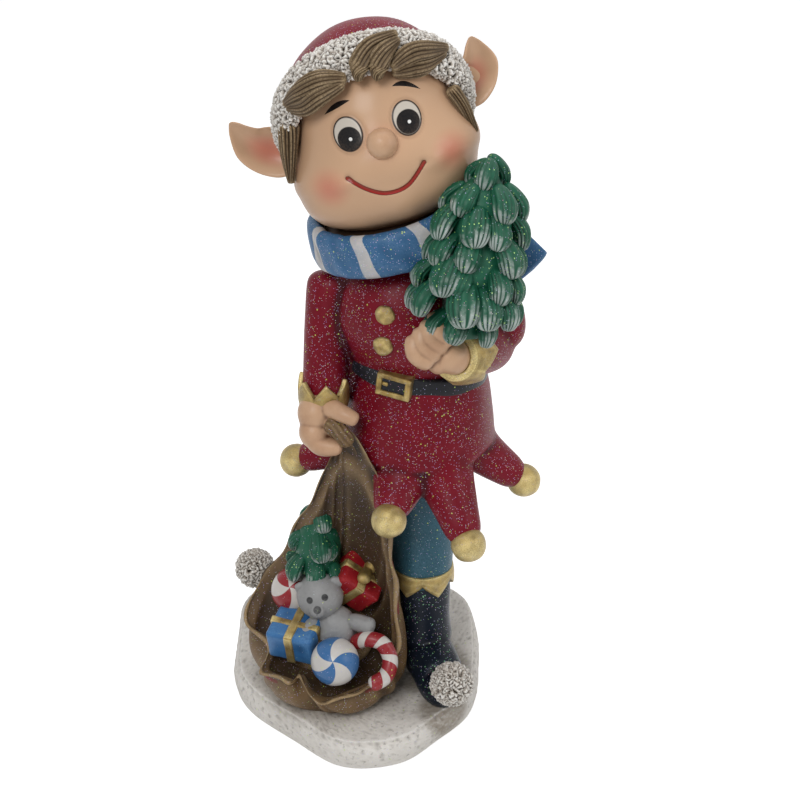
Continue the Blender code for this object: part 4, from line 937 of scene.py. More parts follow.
fingers.append(limb("back", [hanging_wrist + Vector((-0.0015, -0.002, -0.004)),
                             grip + Vector((-0.0045, -0.003, 0.012)),
                             grip + Vector((-0.0040, -0.004, 0.001))],
                    [HAND_RADIUS * 0.95, HAND_RADIUS * 0.86, HAND_RADIUS * 0.80]))
fingers.append(limb("web", [grip + Vector((0.001, -0.004, 0.014)), grip + Vector((0.005, -0.007, 0.008)),
                            grip + Vector((0.003, -0.007, 0.000))], [FINGER_RADIUS * 1.2] * 3))
fingers.append(limb("knuckles", [grip + Vector((-0.005, -0.004, 0.010)),
                                 grip + Vector((-0.005, -0.008, 0.001)),
                                 grip + Vector((0.001, -0.009, -0.005))], [FINGER_RADIUS * 1.6] * 3))
finish_piece(melt("gripping_hand", fingers, 0.0008, 13), skin, "skin_paint", reach=14, depth=0.0004)

bent_frame = leaning(bent_wrist + (bent_wrist - bent_elbow) * 0.10, bent_elbow, 20)
toothed_cuff("bent_cuff", bent_frame, SLEEVE_RADIUS * 0.75, SLEEVE_RADIUS + CUFF_THICKNESS,
             CUFF_HEIGHT * 0.45, 5, CUFF_HEIGHT * 0.75, flare=0.24)
palm = bent_wrist + Vector((-0.018, -0.010, 0.007))
fingers = [limb("palm", [bent_wrist, bent_wrist.lerp(palm, 0.6), palm],
                [HAND_RADIUS * 0.80, HAND_RADIUS * 1.0, HAND_RADIUS * 0.9], flat=0.8, wide=(0, 0.4, 1)),
           limb("heel", [bent_wrist, bent_wrist + (bent_wrist - bent_elbow) * 0.15,
                         palm + Vector((0.006, -0.005, -0.004))],
                [HAND_RADIUS * 0.88, HAND_RADIUS * 0.86, HAND_RADIUS * 0.7])]
for number in range(4):
    root = palm + Vector((0.003 + 0.0042 * number, -0.004 + 0.0010 * number, -0.006 + 0.0045 * number))
    fingers.append(limb("finger", [root, root + Vector((-0.010, -0.001, 0.007)),
                                   root + Vector((-0.0115, 0.004, 0.017))],
                        [FINGER_RADIUS, FINGER_RADIUS * 0.92, FINGER_RADIUS * 0.75], sides=24, rings=20))
finish_piece(melt("holding_hand", fingers, 0.0008, 9), skin, "skin_paint", reach=12, depth=0.0004)

# %% [markdown]
# ## The scarf
# One broad turn round the neck, pressed into shallow folds, and a tail that
# sticks out behind the tree.  The stripes are painted, so they are a number on
# the mesh: the distance from the nearest stripe, which the paint compares with
# the stripe's half width.

# %% Scarf and tail
SCARF_RADIUS = 0.0470
SCARF_HEIGHT = 0.0265
SCARF_THICKNESS = 0.010
SCARF_LIFT = 0.0145
SCARF_ROLL = 15.0
SCARF_TAIL_DROP = 0.041
STRIPES = (-153, -111, -70, -28, 14, 55, 96, 134, 172)
scarf_middle = Vector((neck_x + 0.003, 0.002, neck_z + SCARF_LIFT))
scarf_roll = rotation(-SCARF_ROLL, "Y") @ rotation(4, "X")


def scarf_place(turn, round_):
    radius = SCARF_RADIUS + SCARF_THICKNESS / 2 * math.cos(round_)
    lift = math.copysign(abs(math.sin(round_)) ** 0.5, math.sin(round_)) * SCARF_HEIGHT / 2
    fold = (math.sin(turn * 19 + lift * 260 + 1.5 * math.sin(turn * 3.0))
            * noise.noise(Vector((turn * 2.0, lift * 60, 4))))
    radius += -0.10 * lift + 0.0011 * fold
    return scarf_middle + scarf_roll @ Vector((radius * 1.04 * math.cos(turn), radius * math.sin(turn), lift))


def stripe_gap(turn, round_):
    """Degrees to the nearest stripe, leaning a little over the height."""
    angle = math.degrees(turn) + 3.3 * math.sin(round_) + 0.8 * math.sin(round_ * 3.0 + turn * 7.0)
    return min(abs((angle - stripe + 180.0) % 360.0 - 180.0) for stripe in STRIPES)


def stripes(tree_):
    gap = noted(tree_, "stripe")
    return mixed(tree_, step_mask(tree_, gap, 4.9, 4.3), SCARF_BLUE, (0.58, 0.55, 0.52))


scarf_paint = paint("scarf stripes", SCARF_BLUE, (0.010, 0.035, 0.07), (0.14, 0.27, 0.46), rough=0.42,
                    wash=0.9, brush=0.35, blotch=0.2, flakes=0.24, sparks=0.012, pattern=stripes)
scarf = hoop("scarf", 220, 60, scarf_place, {"stripe": stripe_gap})
finish_piece(scarf, scarf_paint, "scarf_paint", reach=14, depth=0.0005)
tail_reach = FIGURE_WIDTH + SNOW_CENTRE_X - SNOW_WIDTH / 2
tail_root = scarf_middle + Vector((0.036, 0.026, 0.002))
tail_end = Vector((tail_reach - SCARF_HEIGHT * 0.34, 0.018, scarf_middle.z - SCARF_TAIL_DROP))
tail = limb("scarf_tail", [tail_root, tail_root.lerp(tail_end, 0.5) + Vector((0, 0.004, 0.002)), tail_end],
            [SCARF_HEIGHT * 0.36, SCARF_HEIGHT * 0.46, SCARF_HEIGHT * 0.52], sides=72, rings=72, flat=0.32,
            wide=(0.65, 0, 0.76), blunt=0.3, marks={"stripe": lambda turn, rise: abs(rise - 0.42) * 90.0})
finish_piece(tail, scarf_paint, "scarf_paint", reach=14, depth=0.0005)

# %% [markdown]
# ## The head
# The head is tipped back and leans to one side, so it gets a frame of its own and
# every feature is placed in that frame.  The eyes, brows, mouth and blush are
# paint: the face paint reads where a point lies across and up in the head's
# frame, which is noted on the mesh, and compares it with ovals and arcs.

# %% Head, nose and ears
HEAD_WIDTH = 0.096
HEAD_DEPTH = 0.092
HEAD_HEIGHT = 0.100
HEAD_TIP_BACK = 18.6
HEAD_ROLL = 16.0
HEAD_NOD = 6.6
CHEEK_SWELL = 0.23
JAW_SWELL = 0.25
JAW_LEVEL = -0.33
JAW_SHIFT = 0.003
NOSE_RADIUS = 0.0088
EAR_WIDTH = 0.030
EAR_THICKNESS = 0.009
head_frame = (Matrix.Translation((neck_x - 0.0035, 0.0, head_z))
              @ rotation(-HEAD_TIP_BACK, "X")
              @ rotation(-HEAD_ROLL, "Y")
              @ rotation(HEAD_NOD, "X"))
head_turn = head_frame.to_3x3()
EYE_CENTRES = ((-0.0179, 0.0135), (0.0162, 0.0132))
PUPIL_CENTRES = ((-0.0178, 0.0107), (0.0163, 0.0110))
SMILE = ((-0.0250, -0.0098), (-0.0160, -0.0186), (-0.0056, -0.0238), (0.0068, -0.0226), (0.0188, -0.0128))


def head_shape(turn, rise):
    """The pear-shaped head in its own frame, with full cheeks and a soft chin."""
    z = -math.cos(rise * math.pi)
    flat = (1.0 - abs(z) ** 2.6) ** 0.4545 if z > 0 else math.sqrt(max(0.0, 1.0 - z * z))
    spread = 1.0 + CHEEK_SWELL * blend(0.35, JAW_LEVEL, z) + JAW_SWELL * blend(JAW_LEVEL, -0.95, z)
    shift = JAW_SHIFT * blend(0.1, -0.6, z)
    return Vector((HEAD_WIDTH / 2 * flat * spread * math.cos(turn) - shift,
                   HEAD_DEPTH / 2 * flat * (0.4 + 0.6 * spread) * math.sin(turn),
                   HEAD_HEIGHT / 2 * z * (1.18 if z > 0 else 1.0)))


def face_relief(spot):
    """Modelled features: eye sockets, the groove of the smile, dimples and a chin."""
    if spot.y > -0.015:
        return 0.0
    push_out = 0.0
    for x, z in EYE_CENTRES:
        gap = math.hypot((spot.x - x) / 0.0081, (spot.z - z) / 0.0098)
        push_out += 0.0007 * blend(1.12, 0.92, gap) - 0.0005 * blend(1.35, 1.1, gap)
    lip = min((math.hypot(spot.x - p[0], spot.z - p[1]) for p in smile_line), default=1.0)
    push_out -= 0.0012 * blend(0.0017, 0.0, lip)
    for x, z in (SMILE[0], SMILE[-1]):
        push_out -= 0.0010 * blend(0.0045, 0.0, math.hypot(spot.x - x, spot.z - z))
        side = math.copysign(1.0, x)
        push_out += 0.0012 * blend(0.010, 0.0, math.hypot(spot.x - x - side * 0.007, spot.z - z + 0.001))
    push_out += 0.0012 * blend(0.014, 0.0, math.hypot(spot.x, spot.z + 0.034))
    return push_out


smile_points = [Vector((x, z, 0)) for x, z in SMILE]
smile_line = [along(smile_points, k / 60)[:2] for k in range(61)]


def head_place(turn, rise):
    spot = head_shape(turn, rise)
    outwards = Vector((spot.x / HEAD_WIDTH, spot.y / HEAD_DEPTH, spot.z / HEAD_HEIGHT)).normalized()
    return head_frame @ (spot + outwards * face_relief(spot))


head = form("head", 264, 200, head_place,
            {"face_x": lambda turn, rise: head_shape(turn, rise).x,
             "face_y": lambda turn, rise: head_shape(turn, rise).y,
             "face_z": lambda turn, rise: head_shape(turn, rise).z})


def face_paint(tree_):
    """Flesh with blush, painted shade towards the sides and under the hair, and painted brows, eyes and mouth
    on the front of the head.
    """
    x = noted(tree_, "face_x")
    y = noted(tree_, "face_y")
    z = noted(tree_, "face_z")
    ahead = calc(tree_, "LESS_THAN", y, -0.015)

    def oval(centre, half_x, half_z, low=1.04, high=0.96):
        across_ = calc(tree_, "DIVIDE", calc(tree_, "SUBTRACT", x, centre[0]), half_x)
        up = calc(tree_, "DIVIDE", calc(tree_, "SUBTRACT", z, centre[1]), half_z)
        gap = calc(tree_, "SQRT", calc(tree_, "ADD", calc(tree_, "MULTIPLY", across_, across_),
                                       calc(tree_, "MULTIPLY", up, up)))
        return calc(tree_, "MULTIPLY", step_mask(tree_, gap, low, high), ahead)

    colour = FLESH
    # Painted shade: the flesh darkens towards the sides of the face and under the hair line.
    side_shade = calc(tree_, "MULTIPLY", step_mask(tree_, y, -0.034, -0.010), 0.55)
    shade_under_hair = calc(tree_, "MULTIPLY", step_mask(tree_, z, 0.031, 0.043), 0.45)
    colour = mixed(tree_, side_shade, colour, (0.34, 0.19, 0.105))
    colour = mixed(tree_, shade_under_hair, colour, (0.30, 0.165, 0.09))
    for centre in ((-0.0365, -0.0135), (0.0360, -0.0120)):
        colour = mixed(tree_, calc(tree_, "MULTIPLY", oval(centre, 0.0125, 0.0125, 1.2, 0.0), 0.62),
                       colour, (0.60, 0.15, 0.10))
    colour = mixed(tree_, calc(tree_, "MULTIPLY", oval((-0.001, 0.006), 0.014, 0.012, 1.2, 0.2), 0.25),
                   colour, (0.58, 0.29, 0.19))
    for eye, pupil in zip(EYE_CENTRES, PUPIL_CENTRES):
        colour = mixed(tree_, oval(eye, 0.0084, 0.0099), colour, (0.004, 0.004, 0.005))
        colour = mixed(tree_, oval(eye, 0.0074, 0.0089), colour, (0.58, 0.53, 0.46))
        colour = mixed(tree_, oval(pupil, 0.0066, 0.0067), colour, (0.001, 0.0015, 0.003))
        glint = (pupil[0] + 0.0006, pupil[1] - 0.0002)
        colour = mixed(tree_, oval(glint, 0.0010, 0.0010), colour, (0.8, 0.8, 0.78))
    for middle, half, level, slope, bend in ((-0.0198, 0.0080, 0.0300, 0.00215, -0.00125),
                                             (0.0204, 0.0076, 0.0309, -0.00315, -0.00235)):
        arch = calc(tree_, "DIVIDE", calc(tree_, "SUBTRACT", x, middle), half)
        square = calc(tree_, "MULTIPLY", arch, arch)
        curve = calc(tree_, "MULTIPLY_ADD", square, bend, calc(tree_, "MULTIPLY_ADD", arch, slope, level))
        taper = calc(tree_, "MULTIPLY", calc(tree_, "SUBTRACT", 1.0, square), 0.0015)
        brow = calc(tree_, "LESS_THAN", calc(tree_, "ABSOLUTE", calc(tree_, "SUBTRACT", z, curve)), taper)
        colour = mixed(tree_, calc(tree_, "MULTIPLY", brow, ahead), colour, (0.005, 0.005, 0.006))
    lip = noted(tree_, "lip")
    colour = mixed(tree_, step_mask(tree_, lip, 0.00150, 0.00115), colour, (0.060, 0.008, 0.007))
    colour = mixed(tree_, step_mask(tree_, lip, 0.00110, 0.00085), colour, (0.36, 0.004, 0.008))
    return colour


bm = bmesh.new()
bm.from_mesh(head.data)
lip_gaps = []
for vert in bm.verts:
    spot = head_frame.inverted() @ vert.co
    if spot.y < -0.015:
        lip_gaps.append(min(math.hypot(spot.x - p[0], spot.z - p[1]) for p in smile_line))
    else:
        lip_gaps.append(1.0)
note(bm, {"lip": lip_gaps})
bm.to_mesh(head.data)
bm.free()
face = paint("painted face", FLESH, (0.16, 0.075, 0.04), (0.68, 0.46, 0.31), rough=0.34, wash=0.55,
             brush=0.15, blotch=0.0, grain=0.08, coat=0.22, specular=0.08, pattern=face_paint)
finish_piece(head, face, "skin_paint", reach=20, depth=0.0007)
nose_spot = head_frame @ Vector((-0.001, -HEAD_DEPTH / 2 - 0.003, 0.004))
nose = ball("nose", nose_spot, NOSE_RADIUS, sides=64, rings=44)
finish_piece(nose, skin, "skin_paint", reach=6, depth=0.0006)


def ear_pattern(tree_):
    """Flesh that reddens towards the hollow of the ear."""
    depth_in = noted(tree_, "inside")
    return mixed(tree_, step_mask(tree_, depth_in, 0.30, 1.15), FLESH, (0.54, 0.17, 0.11))


ear_paint = paint("painted ear", FLESH, (0.16, 0.075, 0.04), (0.68, 0.46, 0.31), rough=0.36, wash=0.9,
                  brush=0.25, blotch=0.0, grain=0.10, coat=0.15, pattern=ear_pattern)


def ear(name, side, spine):
    """A broad leaf-shaped ear on a curved spine, with a hollow that faces forward and a rolled rim."""
    spine = [head_frame @ Vector(p) for p in spine]
    towards = (head_turn @ Vector((0.25 * side, -1.0, 0.1))).normalized()
    widths = [0.80, 1.0, 0.80, 0.14]

    def ear_place(turn, rise):
        within = 1.0 if 0.0 < rise < 1.0 else 0.0
        heading = (along(spine, min(rise + 0.05, 1.0)) - along(spine, max(rise - 0.05, 0.0))).normalized()
        across_ = heading.cross(towards).normalized()
        u, v = math.cos(turn), math.sin(turn)
        rounding = math.sqrt(max(0.0, 1.0 - max(0.0, (rise - 0.88) / 0.12) ** 2))
        width = EAR_WIDTH / 2 * along(widths, rise) * rounding
        scoop = 1.05 * EAR_THICKNESS * max(0.0, v) ** 0.6 * (1 - abs(u) ** 2.4) * math.sin(math.pi * rise)
        out = EAR_THICKNESS / 2 * v * (0.5 + 0.5 * math.sin(math.pi * rise)) - scoop
        return along(spine, rise) + (across_ * width * u + towards * out) * within

    def inside(turn, rise):
        u, v = math.cos(turn), math.sin(turn)
        return max(0.0, v) ** 0.6 * (1 - u * u) * math.sin(math.pi * min(rise * 1.1, 1.0))

    piece = form(name, 110, 96, ear_place, {"inside": inside})
    roughen(piece, 90, 0.0005)
    return finish_piece(piece, ear_paint, "skin_paint", reach=14, depth=0.0006)


ear("left_ear", -1, [(-0.046, 0.010, 0.008), (-0.063, 0.008, 0.010), (-0.076, 0.006, 0.019),
                     (-0.0838, 0.005, 0.0342)])
ear("right_ear", 1, [(0.046, 0.010, 0.015), (0.0570, 0.008, 0.018), (0.0650, 0.006, 0.027),
                     (0.0645, 0.003, 0.043)])
# A flat dark disc inside the ring of the scarf: painted shadow between the chin and the scarf, not a part of
# the figurine.
shade = ball("neck", scarf_middle, SCARF_RADIUS - 0.0005, sides=48, rings=24, stretch=(1, 1, 0.2),
             turned=scarf_roll.to_4x4())
neck_shadow_paint = paint("neck shadow", (0.06, 0.032, 0.02), (0.02, 0.012, 0.008), (0.12, 0.07, 0.04))
finish_piece(shade, neck_shadow_paint, "skin_paint")

# %% [markdown]
# ## Hat, fur trim and hair
# The hat is a smooth dome pushed far back.  Its trim is a thick ring of combed
# fur: the same nub rule as the pompoms, on a finer scale.  The hair lies over the
# trim in flat, pointed locks.  Furrows run along each lock, and the paint is
# darker in them and paler on the strands between.

# %% Hat and hair
HAT_TILT = 45.0
HAT_WIDTH = 0.1065
HAT_DEPTH = 0.098
HAT_HEIGHT = 0.0560
TRIM_WIDTH = 0.030
TRIM_THICKNESS = 0.015
hat_frame = head_frame @ Matrix.Translation((-0.001, 0.002, 0.0185)) @ rotation(-HAT_TILT, "X")


def dome_place(turn, rise):
    z = -math.cos(rise * math.pi)
    flat = math.sqrt(max(0.0, 1.0 - z * z))
    spot = Vector((HAT_WIDTH / 2 * flat * math.cos(turn), HAT_DEPTH / 2 * flat * math.sin(turn),
                   z * (HAT_HEIGHT if z > 0 else HAT_HEIGHT * 0.2)))
    return hat_frame @ (spot * (1.0 + 0.012 * noise.noise(spot * 40)))


finish_piece(form("hat_dome", 128, 96, dome_place), crimson, "crimson_coat_paint", reach=20, depth=0.0006)


def trim_place(turn, round_):
    out = TRIM_THICKNESS / 2 * math.cos(round_)
    return hat_frame @ Vector(((HAT_WIDTH / 2 + out) * math.cos(turn), (HAT_DEPTH / 2 + out) * math.sin(turn),
                               TRIM_WIDTH / 2 * math.sin(round_)))


trim = hoop("hat_trim", 620, 136, trim_place)
push(trim, nubs(0.0038, 0.0018))
finish_piece(trim, fur, "fur_paint", reach=14, depth=0.0005)

LOCK_RADIUS = 0.0072
SIDEBURN_RADIUS = 0.0065
hair_brown = paint("brushed hair", (0.105, 0.066, 0.034), (0.010, 0.006, 0.003), (0.34, 0.25, 0.145),
                   rough=0.42, wash=1.4, brush=1.1, blotch=0.3, grain=0.2, specular=0.18)
locks = {
    "left_lock_over": [(-0.010, -0.0455, 0.0425), (-0.024, -0.0450, 0.0460), (-0.037, -0.0380, 0.0430),
                       (-0.0485, -0.0270, 0.0375)],
    "left_lock_under": [(-0.012, -0.0460, 0.0415), (-0.026, -0.0450, 0.0390), (-0.037, -0.0380, 0.0345),
                        (-0.0475, -0.0270, 0.0350)],
    "centre_lock_left": [(-0.004, -0.0460, 0.0400), (-0.001, -0.0480, 0.0485), (0.008, -0.0450, 0.0560),
                         (0.024, -0.0380, 0.0590)],
    "centre_lock_right": [(0.006, -0.0460, 0.0375), (0.0085, -0.0480, 0.0450), (0.0145, -0.0460, 0.0515),
                          (0.024, -0.0390, 0.0555)],
    "right_lock_over": [(0.0150, -0.0435, 0.0420), (0.0265, -0.0408, 0.0455), (0.0365, -0.0360, 0.0450),
                        (0.0495, -0.0240, 0.0425)],
    "right_lock_under": [(0.0150, -0.0405, 0.0395), (0.0255, -0.0380, 0.0385), (0.0345, -0.0350, 0.0380),
                         (0.0475, -0.0250, 0.0405)],
}


def strands(count, depth):
    """Furrows along a lock: some broad, with finer ones between, wavering a little."""
    def carve(turn, rise):
        sway = 1.7 * math.sin(rise * 4.0 + count) + 0.8 * math.sin(turn * 2.0)
        broad = 0.5 - 0.5 * math.sin(count * turn + sway)
        fine = 0.5 - 0.5 * math.sin(count * 3 * turn + 2.2 * sway)
        return 1.0 - depth * broad ** 2 - depth * 0.6 * fine ** 2
    return carve


for name, points in locks.items():
    lock = limb(name, [head_frame @ Vector(p) for p in points],
                [LOCK_RADIUS * share for share in (0.50, 0.86, 0.80, 0.30)], sides=160, rings=56,
                flat=0.75, wide=head_turn @ Vector((0.2, 0, 1)), carve=strands(6, 0.22))
    finish_piece(lock, hair_brown, "hair_paint", reach=18, depth=0.00034)
for name, share, points in (("left_sideburn", 1.0, [(-0.0485, -0.019, 0.028), (-0.0540, -0.016, 0.012),
                                                    (-0.0585, -0.012, -0.008)]),
                            ("right_sideburn", 0.7, [(0.0450, -0.023, 0.021), (0.0495, -0.020, 0.006),
                                                     (0.0530, -0.0135, -0.009)])):
    lock = limb(name, [head_frame @ Vector(p) for p in points],
                [share * SIDEBURN_RADIUS * taper for taper in (1.0, 0.85, 0.35)], sides=130, rings=50,
                carve=strands(6, 0.24))
    finish_piece(lock, hair_brown, "hair_paint", reach=16, depth=0.00034)

# %% [markdown]
# ## Fir trees
# Each bough is a drooping drop with furrows that fan out to its tip, and the tips
# were dry-brushed with white.  The boughs hang in rows on a plain cone, and every
# bough is turned and sized a little differently.

# %% Fir trees
TREE_HEIGHT = 0.112
TREE_RADIUS = 0.0272
BOUGH_LENGTH = 0.0265
BOUGH_WIDTH = 0.0175
# Each tier of boughs from the top: how many, and how far out as a share of the radius
FIR_TIERS = ((3, 0.28), (6, 0.68), (7, 0.80), (8, 0.84), (9, 0.98), (9, 1.0), (6, 0.58))
TOY_FIR_TIERS = ((3, 0.40), (5, 0.80), (6, 1.0))
TOY_TREE_HEIGHT = 0.0523
TOY_TREE_RADIUS = 0.0175


def bough_pattern(tree_):
    """Green, with white brushed in strokes over the ridges near the tip of a bough."""
    tip_ = noted(tree_, "tip")
    ridge = noted(tree_, "strand")
    streak = add(tree_, "TexNoise")
    tree_.links.new(add(tree_, "TexCoord").outputs["Object"], streak.inputs["Vector"])
    set_inputs(streak, {"Scale": 260.0, "Detail": 3.0})
    reach = calc(tree_, "MULTIPLY_ADD", streak.outputs["Fac"], 0.5, tip_)
    frost = calc(tree_, "MULTIPLY", step_mask(tree_, reach, 0.80, 1.10), step_mask(tree_, ridge, 0.12, 0.60))
    return mixed(tree_, calc(tree_, "MULTIPLY", frost, 0.85), FIR_GREEN, (0.56, 0.60, 0.58))


fir_green = paint("frosted fir", FIR_GREEN, (0.002, 0.016, 0.010), (0.02, 0.16, 0.09), rough=0.42,
                  wash=1.0, brush=0.3, blotch=0.35, flakes=0.10, sparks=0.05, spark_tint=(0.45, 0.72, 0.25),
                  pattern=bough_pattern)


def fir(name, base, tip, radius, tiers, bough_length, bough_width):
    """A fir: a core and tiers of boughs, gathered into one piece."""
    place = leaning(base, tip)
    height = (Vector(tip) - Vector(base)).length
    reaches = [tiers[-1][1], tiers[-1][1]] + [reach for _, reach in reversed(tiers)] + [0.0]

    def core(turn, rise):
        spread = radius * 0.86 * max(0.0, along(reaches, rise)) if 0.0 < rise < 1.0 else 0.0
        return place @ Vector((spread * math.cos(turn), spread * math.sin(turn), height * rise))

    zero = {"tip": lambda turn, rise: 0.0, "strand": lambda turn, rise: 0.0}
    made = [form("core", 40, 24, core, zero)]
    for tier, (count, reach) in enumerate(tiers):
        level = height * (1.0 - (tier + 0.7) / len(tiers) * 0.93)
        spread = radius * reach
        for number in range(count):
            vary = noise.noise(Vector((tier * 3.7, number * 2.3, len(tiers) + 0.5)))
            turn = math.tau * (number + 0.5 * (tier % 2) + 0.35 * vary) / count
            out = Vector((math.cos(turn), math.sin(turn), 0))
            side = Vector((-out.y, out.x, 0))
            scale = (0.78 + 0.22 * reach) * (1.0 + 0.30 * vary)
            high = level + bough_length * (0.30 + 0.25 * vary)
            root = out * (spread - bough_length * 0.30 * scale) + Vector((0, 0, high))
            end_ = out * (spread + bough_length * (0.14 + 0.16 * vary)) + side * bough_length * 0.4 * vary
            end_.z = high - bough_length * 0.82 * scale
            middle = (root + end_) / 2 + out * bough_length * 0.16
            ribs = 12 + (number + tier) % 3

            def strand(t, r):
                return 0.5 + 0.5 * math.cos(ribs * t + 1.6 * math.sin(3 * t + vary * 9))

            def furrow(t, r):
                deep = 0.14 * blend(0.05, 0.40, r) + 0.16 * blend(0.65, 0.95, r)
                return 1.0 - (1.0 - strand(t, r)) * deep

            made.append(limb("bough", [place @ root, place @ middle, place @ end_],
                             [bough_width * share * scale for share in (0.28, 0.5, 0.34)],
                             sides=50, rings=24, flat=0.65, wide=place.to_3x3() @ side, carve=furrow,
                             marks={"tip": lambda t, r: r + 0.12 * math.sin(2 * t + vary * 20),
                                    "strand": strand}))
    bm = bmesh.new()
    for lump in made:
        bm.from_mesh(lump.data)
        bpy.data.objects.remove(lump, do_unlink=True)
    mesh = bpy.data.meshes.new(name)
    bm.to_mesh(mesh)
    bm.free()
    mesh.shade_smooth()
    piece = bpy.data.objects.new(name, mesh)
    bpy.context.scene.collection.objects.link(piece)
    return finish_piece(piece, fir_green, "fir_paint", reach=5, depth=0.0004)


tree_base = palm + Vector((0.018, 0.002, 0.006))
fir("fir_tree", tree_base, tree_base + Vector((0.018, 0.029, TREE_HEIGHT - 0.008)), TREE_RADIUS, FIR_TIERS,
    BOUGH_LENGTH, BOUGH_WIDTH)

# %% [markdown]
# ## The toy sack
# The sack is one sheet of cloth: a ruffled mouth that leans forward, and a back
# that the hand draws up to a point.  It starts as a ball whose lower half
# becomes the outside and whose upper half turns in over the rim and becomes the
# lining.  The rim is a rolled edge that the painter left paler, a red ribbon
# shows in places under it, and a gathered end of the cloth stands in the fist.

# %% Sack, its ribbon and its lining
SACK_WIDTH = 0.082
SACK_DEPTH = 0.090
SACK_CENTRE = (-0.032, -0.014)
SACK_LIP_HEIGHT = 0.025
SACK_RUFFLE = 0.006
lip_z = snow_top + SACK_LIP_HEIGHT
half_width, half_depth = SACK_WIDTH / 2, SACK_DEPTH / 2
cx, cy = SACK_CENTRE
ruffle = SACK_RUFFLE
grip_z = grip.z + 0.006
drawn = grip_z - lip_z
rim = [(grip.x + 0.013, grip.y - 0.014, grip_z), (cx + 0.025, cy - 0.030, lip_z + drawn * 0.90),
       (cx + 0.0325, cy - 0.033, lip_z + drawn * 0.75), (cx + 0.036, cy - 0.031, lip_z + drawn * 0.55),
       (cx + 0.0385, cy - 0.026, lip_z + drawn * 0.32), (cx + half_width - 0.001, cy - 0.028, lip_z + 0.020),
       (cx + 0.034, cy - 0.038, lip_z + 0.002), (cx + 0.019, cy - half_depth - 0.005, lip_z),
       (cx, cy - half_depth - 0.010 - ruffle, lip_z - 0.003),
       (cx - 0.015, cy - half_depth - 0.008 - ruffle, lip_z + 0.002),
       (cx - 0.021, cy - half_depth - 0.002 + ruffle * 0.5, lip_z + 0.006),
       (cx - 0.027, cy - half_depth - ruffle, lip_z + 0.006),
       (cx - 0.044, cy - 0.036, lip_z + 0.003), (cx - 0.044 + ruffle * 0.5, cy - 0.016, lip_z + 0.010),
       (cx - half_width - 0.010 - ruffle, cy + 0.002, lip_z + 0.014),
       (cx - half_width - 0.008, cy + 0.020, lip_z + 0.032),
       (cx - 0.032, cy + 0.012, lip_z + drawn * 0.36), (cx - 0.017, cy - 0.001, lip_z + drawn * 0.56),
       (cx - 0.003, cy - 0.014, lip_z + drawn * 0.78), (grip.x + 0.009, grip.y - 0.010, lip_z + drawn * 0.93)]
rim = [Vector(p) for p in rim]
sack_floor = Vector((cx - 0.004, cy - 0.008, snow_top + 0.038))
foot_centre = Vector((cx, cy, snow_top - 0.003))


def sack_outside(share, t):
    """Down the outside of the cloth: t 1 at the rim, 0 at the foot."""
    angle = math.radians(81) - share * math.tau
    out = Vector((math.cos(angle), math.sin(angle), 0))
    foot = Vector((cx + half_width * out.x, cy + half_depth * out.y, snow_top - 0.003))
    edge = around(rim, share)
    wander = math.sin(share * math.tau * 13 + t * 3.0 + 2.0 * math.sin(share * 40))
    crease = 0.0013 * wander * math.sin(math.pi * t)
    roll = 0.0040 * math.exp(-((t - 0.965) / 0.040) ** 2) * (1.0 + 0.35 * math.sin(share * math.tau * 17))
    ripple = 0.0018 * math.sin(share * math.tau * 11) * t ** 4
    return foot.lerp(edge, t) + out * (0.008 * math.sin(math.pi * t) + crease + roll) + Vector((0, 0, ripple))


def sack_place(turn, rise):
    share = (turn / math.tau) % 1.0
    if rise < 0.499:
        t = rise / 0.5
        if t < 0.2:
            return foot_centre.lerp(sack_outside(share, 0.0), t / 0.2)
        return sack_outside(share, (t - 0.2) / 0.8)
    w = (rise - 0.5) / 0.5
    lining = 0.06 * min(w / 0.10, 1.0) + 0.94 * w * w
    return sack_outside(share, 1.0 - 0.8 * w).lerp(sack_floor, min(lining, 1.0))


def sack_pattern(tree_):
    """Golden-brown cloth, a darker copy of it as painted shade inside the mouth, and pale on the rolled rim.
    """
    edge = noted(tree_, "edge")
    lining = noted(tree_, "lining")
    tie = noted(tree_, "tie")
    # The lining is painted a darker copy of the cloth: painted shade inside the mouth of the sack.
    cloth = mixed(tree_, step_mask(tree_, lining, 0.05, 0.5), SACK_CLOTH, (0.045, 0.026, 0.013))
    cloth = mixed(tree_, step_mask(tree_, tie, 0.35, 0.55), cloth, (0.20, 0.006, 0.014))
    worn = calc(tree_, "MULTIPLY", step_mask(tree_, edge, 0.30, 0.95), 0.85)
    return mixed(tree_, worn, cloth, (0.38, 0.26, 0.13))


sack_brown = paint("sack wash", SACK_CLOTH, (0.028, 0.016, 0.008), (0.40, 0.28, 0.15), rough=0.48,
                   wash=1.0, brush=0.7, blotch=0.55, blotch_tint=(0.07, 0.042, 0.020), flakes=0.16,
                   sparks=0.012, grain=0.5, scale=90.0, pattern=sack_pattern)
sack = form("sack", 340, 130, sack_place,
            {"edge": lambda turn, rise: math.exp(-((rise - 0.497) / 0.022) ** 2),
             "tie": lambda turn, rise: (math.exp(-((rise - 0.435) / 0.016) ** 2)
                                        * blend(-0.1, 0.3, math.sin((turn / math.tau % 1.0) * 44.0))),
             "lining": lambda turn, rise: min(1.0, max(0.0, (rise - 0.515) / 0.2))})
finish_piece(sack, sack_brown, "sack_paint", reach=16, depth=0.0007)
no_marks = {"edge": lambda t, r: 0.0, "tie": lambda t, r: 0.0, "lining": lambda t, r: 0.0}
gathers = limb("sack_gathers", [grip + Vector((0.017, -0.0145, -0.004)),
                                grip + Vector((0.010, -0.0150, 0.0065)),
                                grip + Vector((0.002, -0.0120, 0.0105))],
               [0.0050, 0.0058, 0.0050], sides=72, rings=40,
               carve=lambda t, r: 1.0 - 0.10 * (0.5 + 0.5 * math.sin(9 * t + 3 * r)), marks=no_marks)
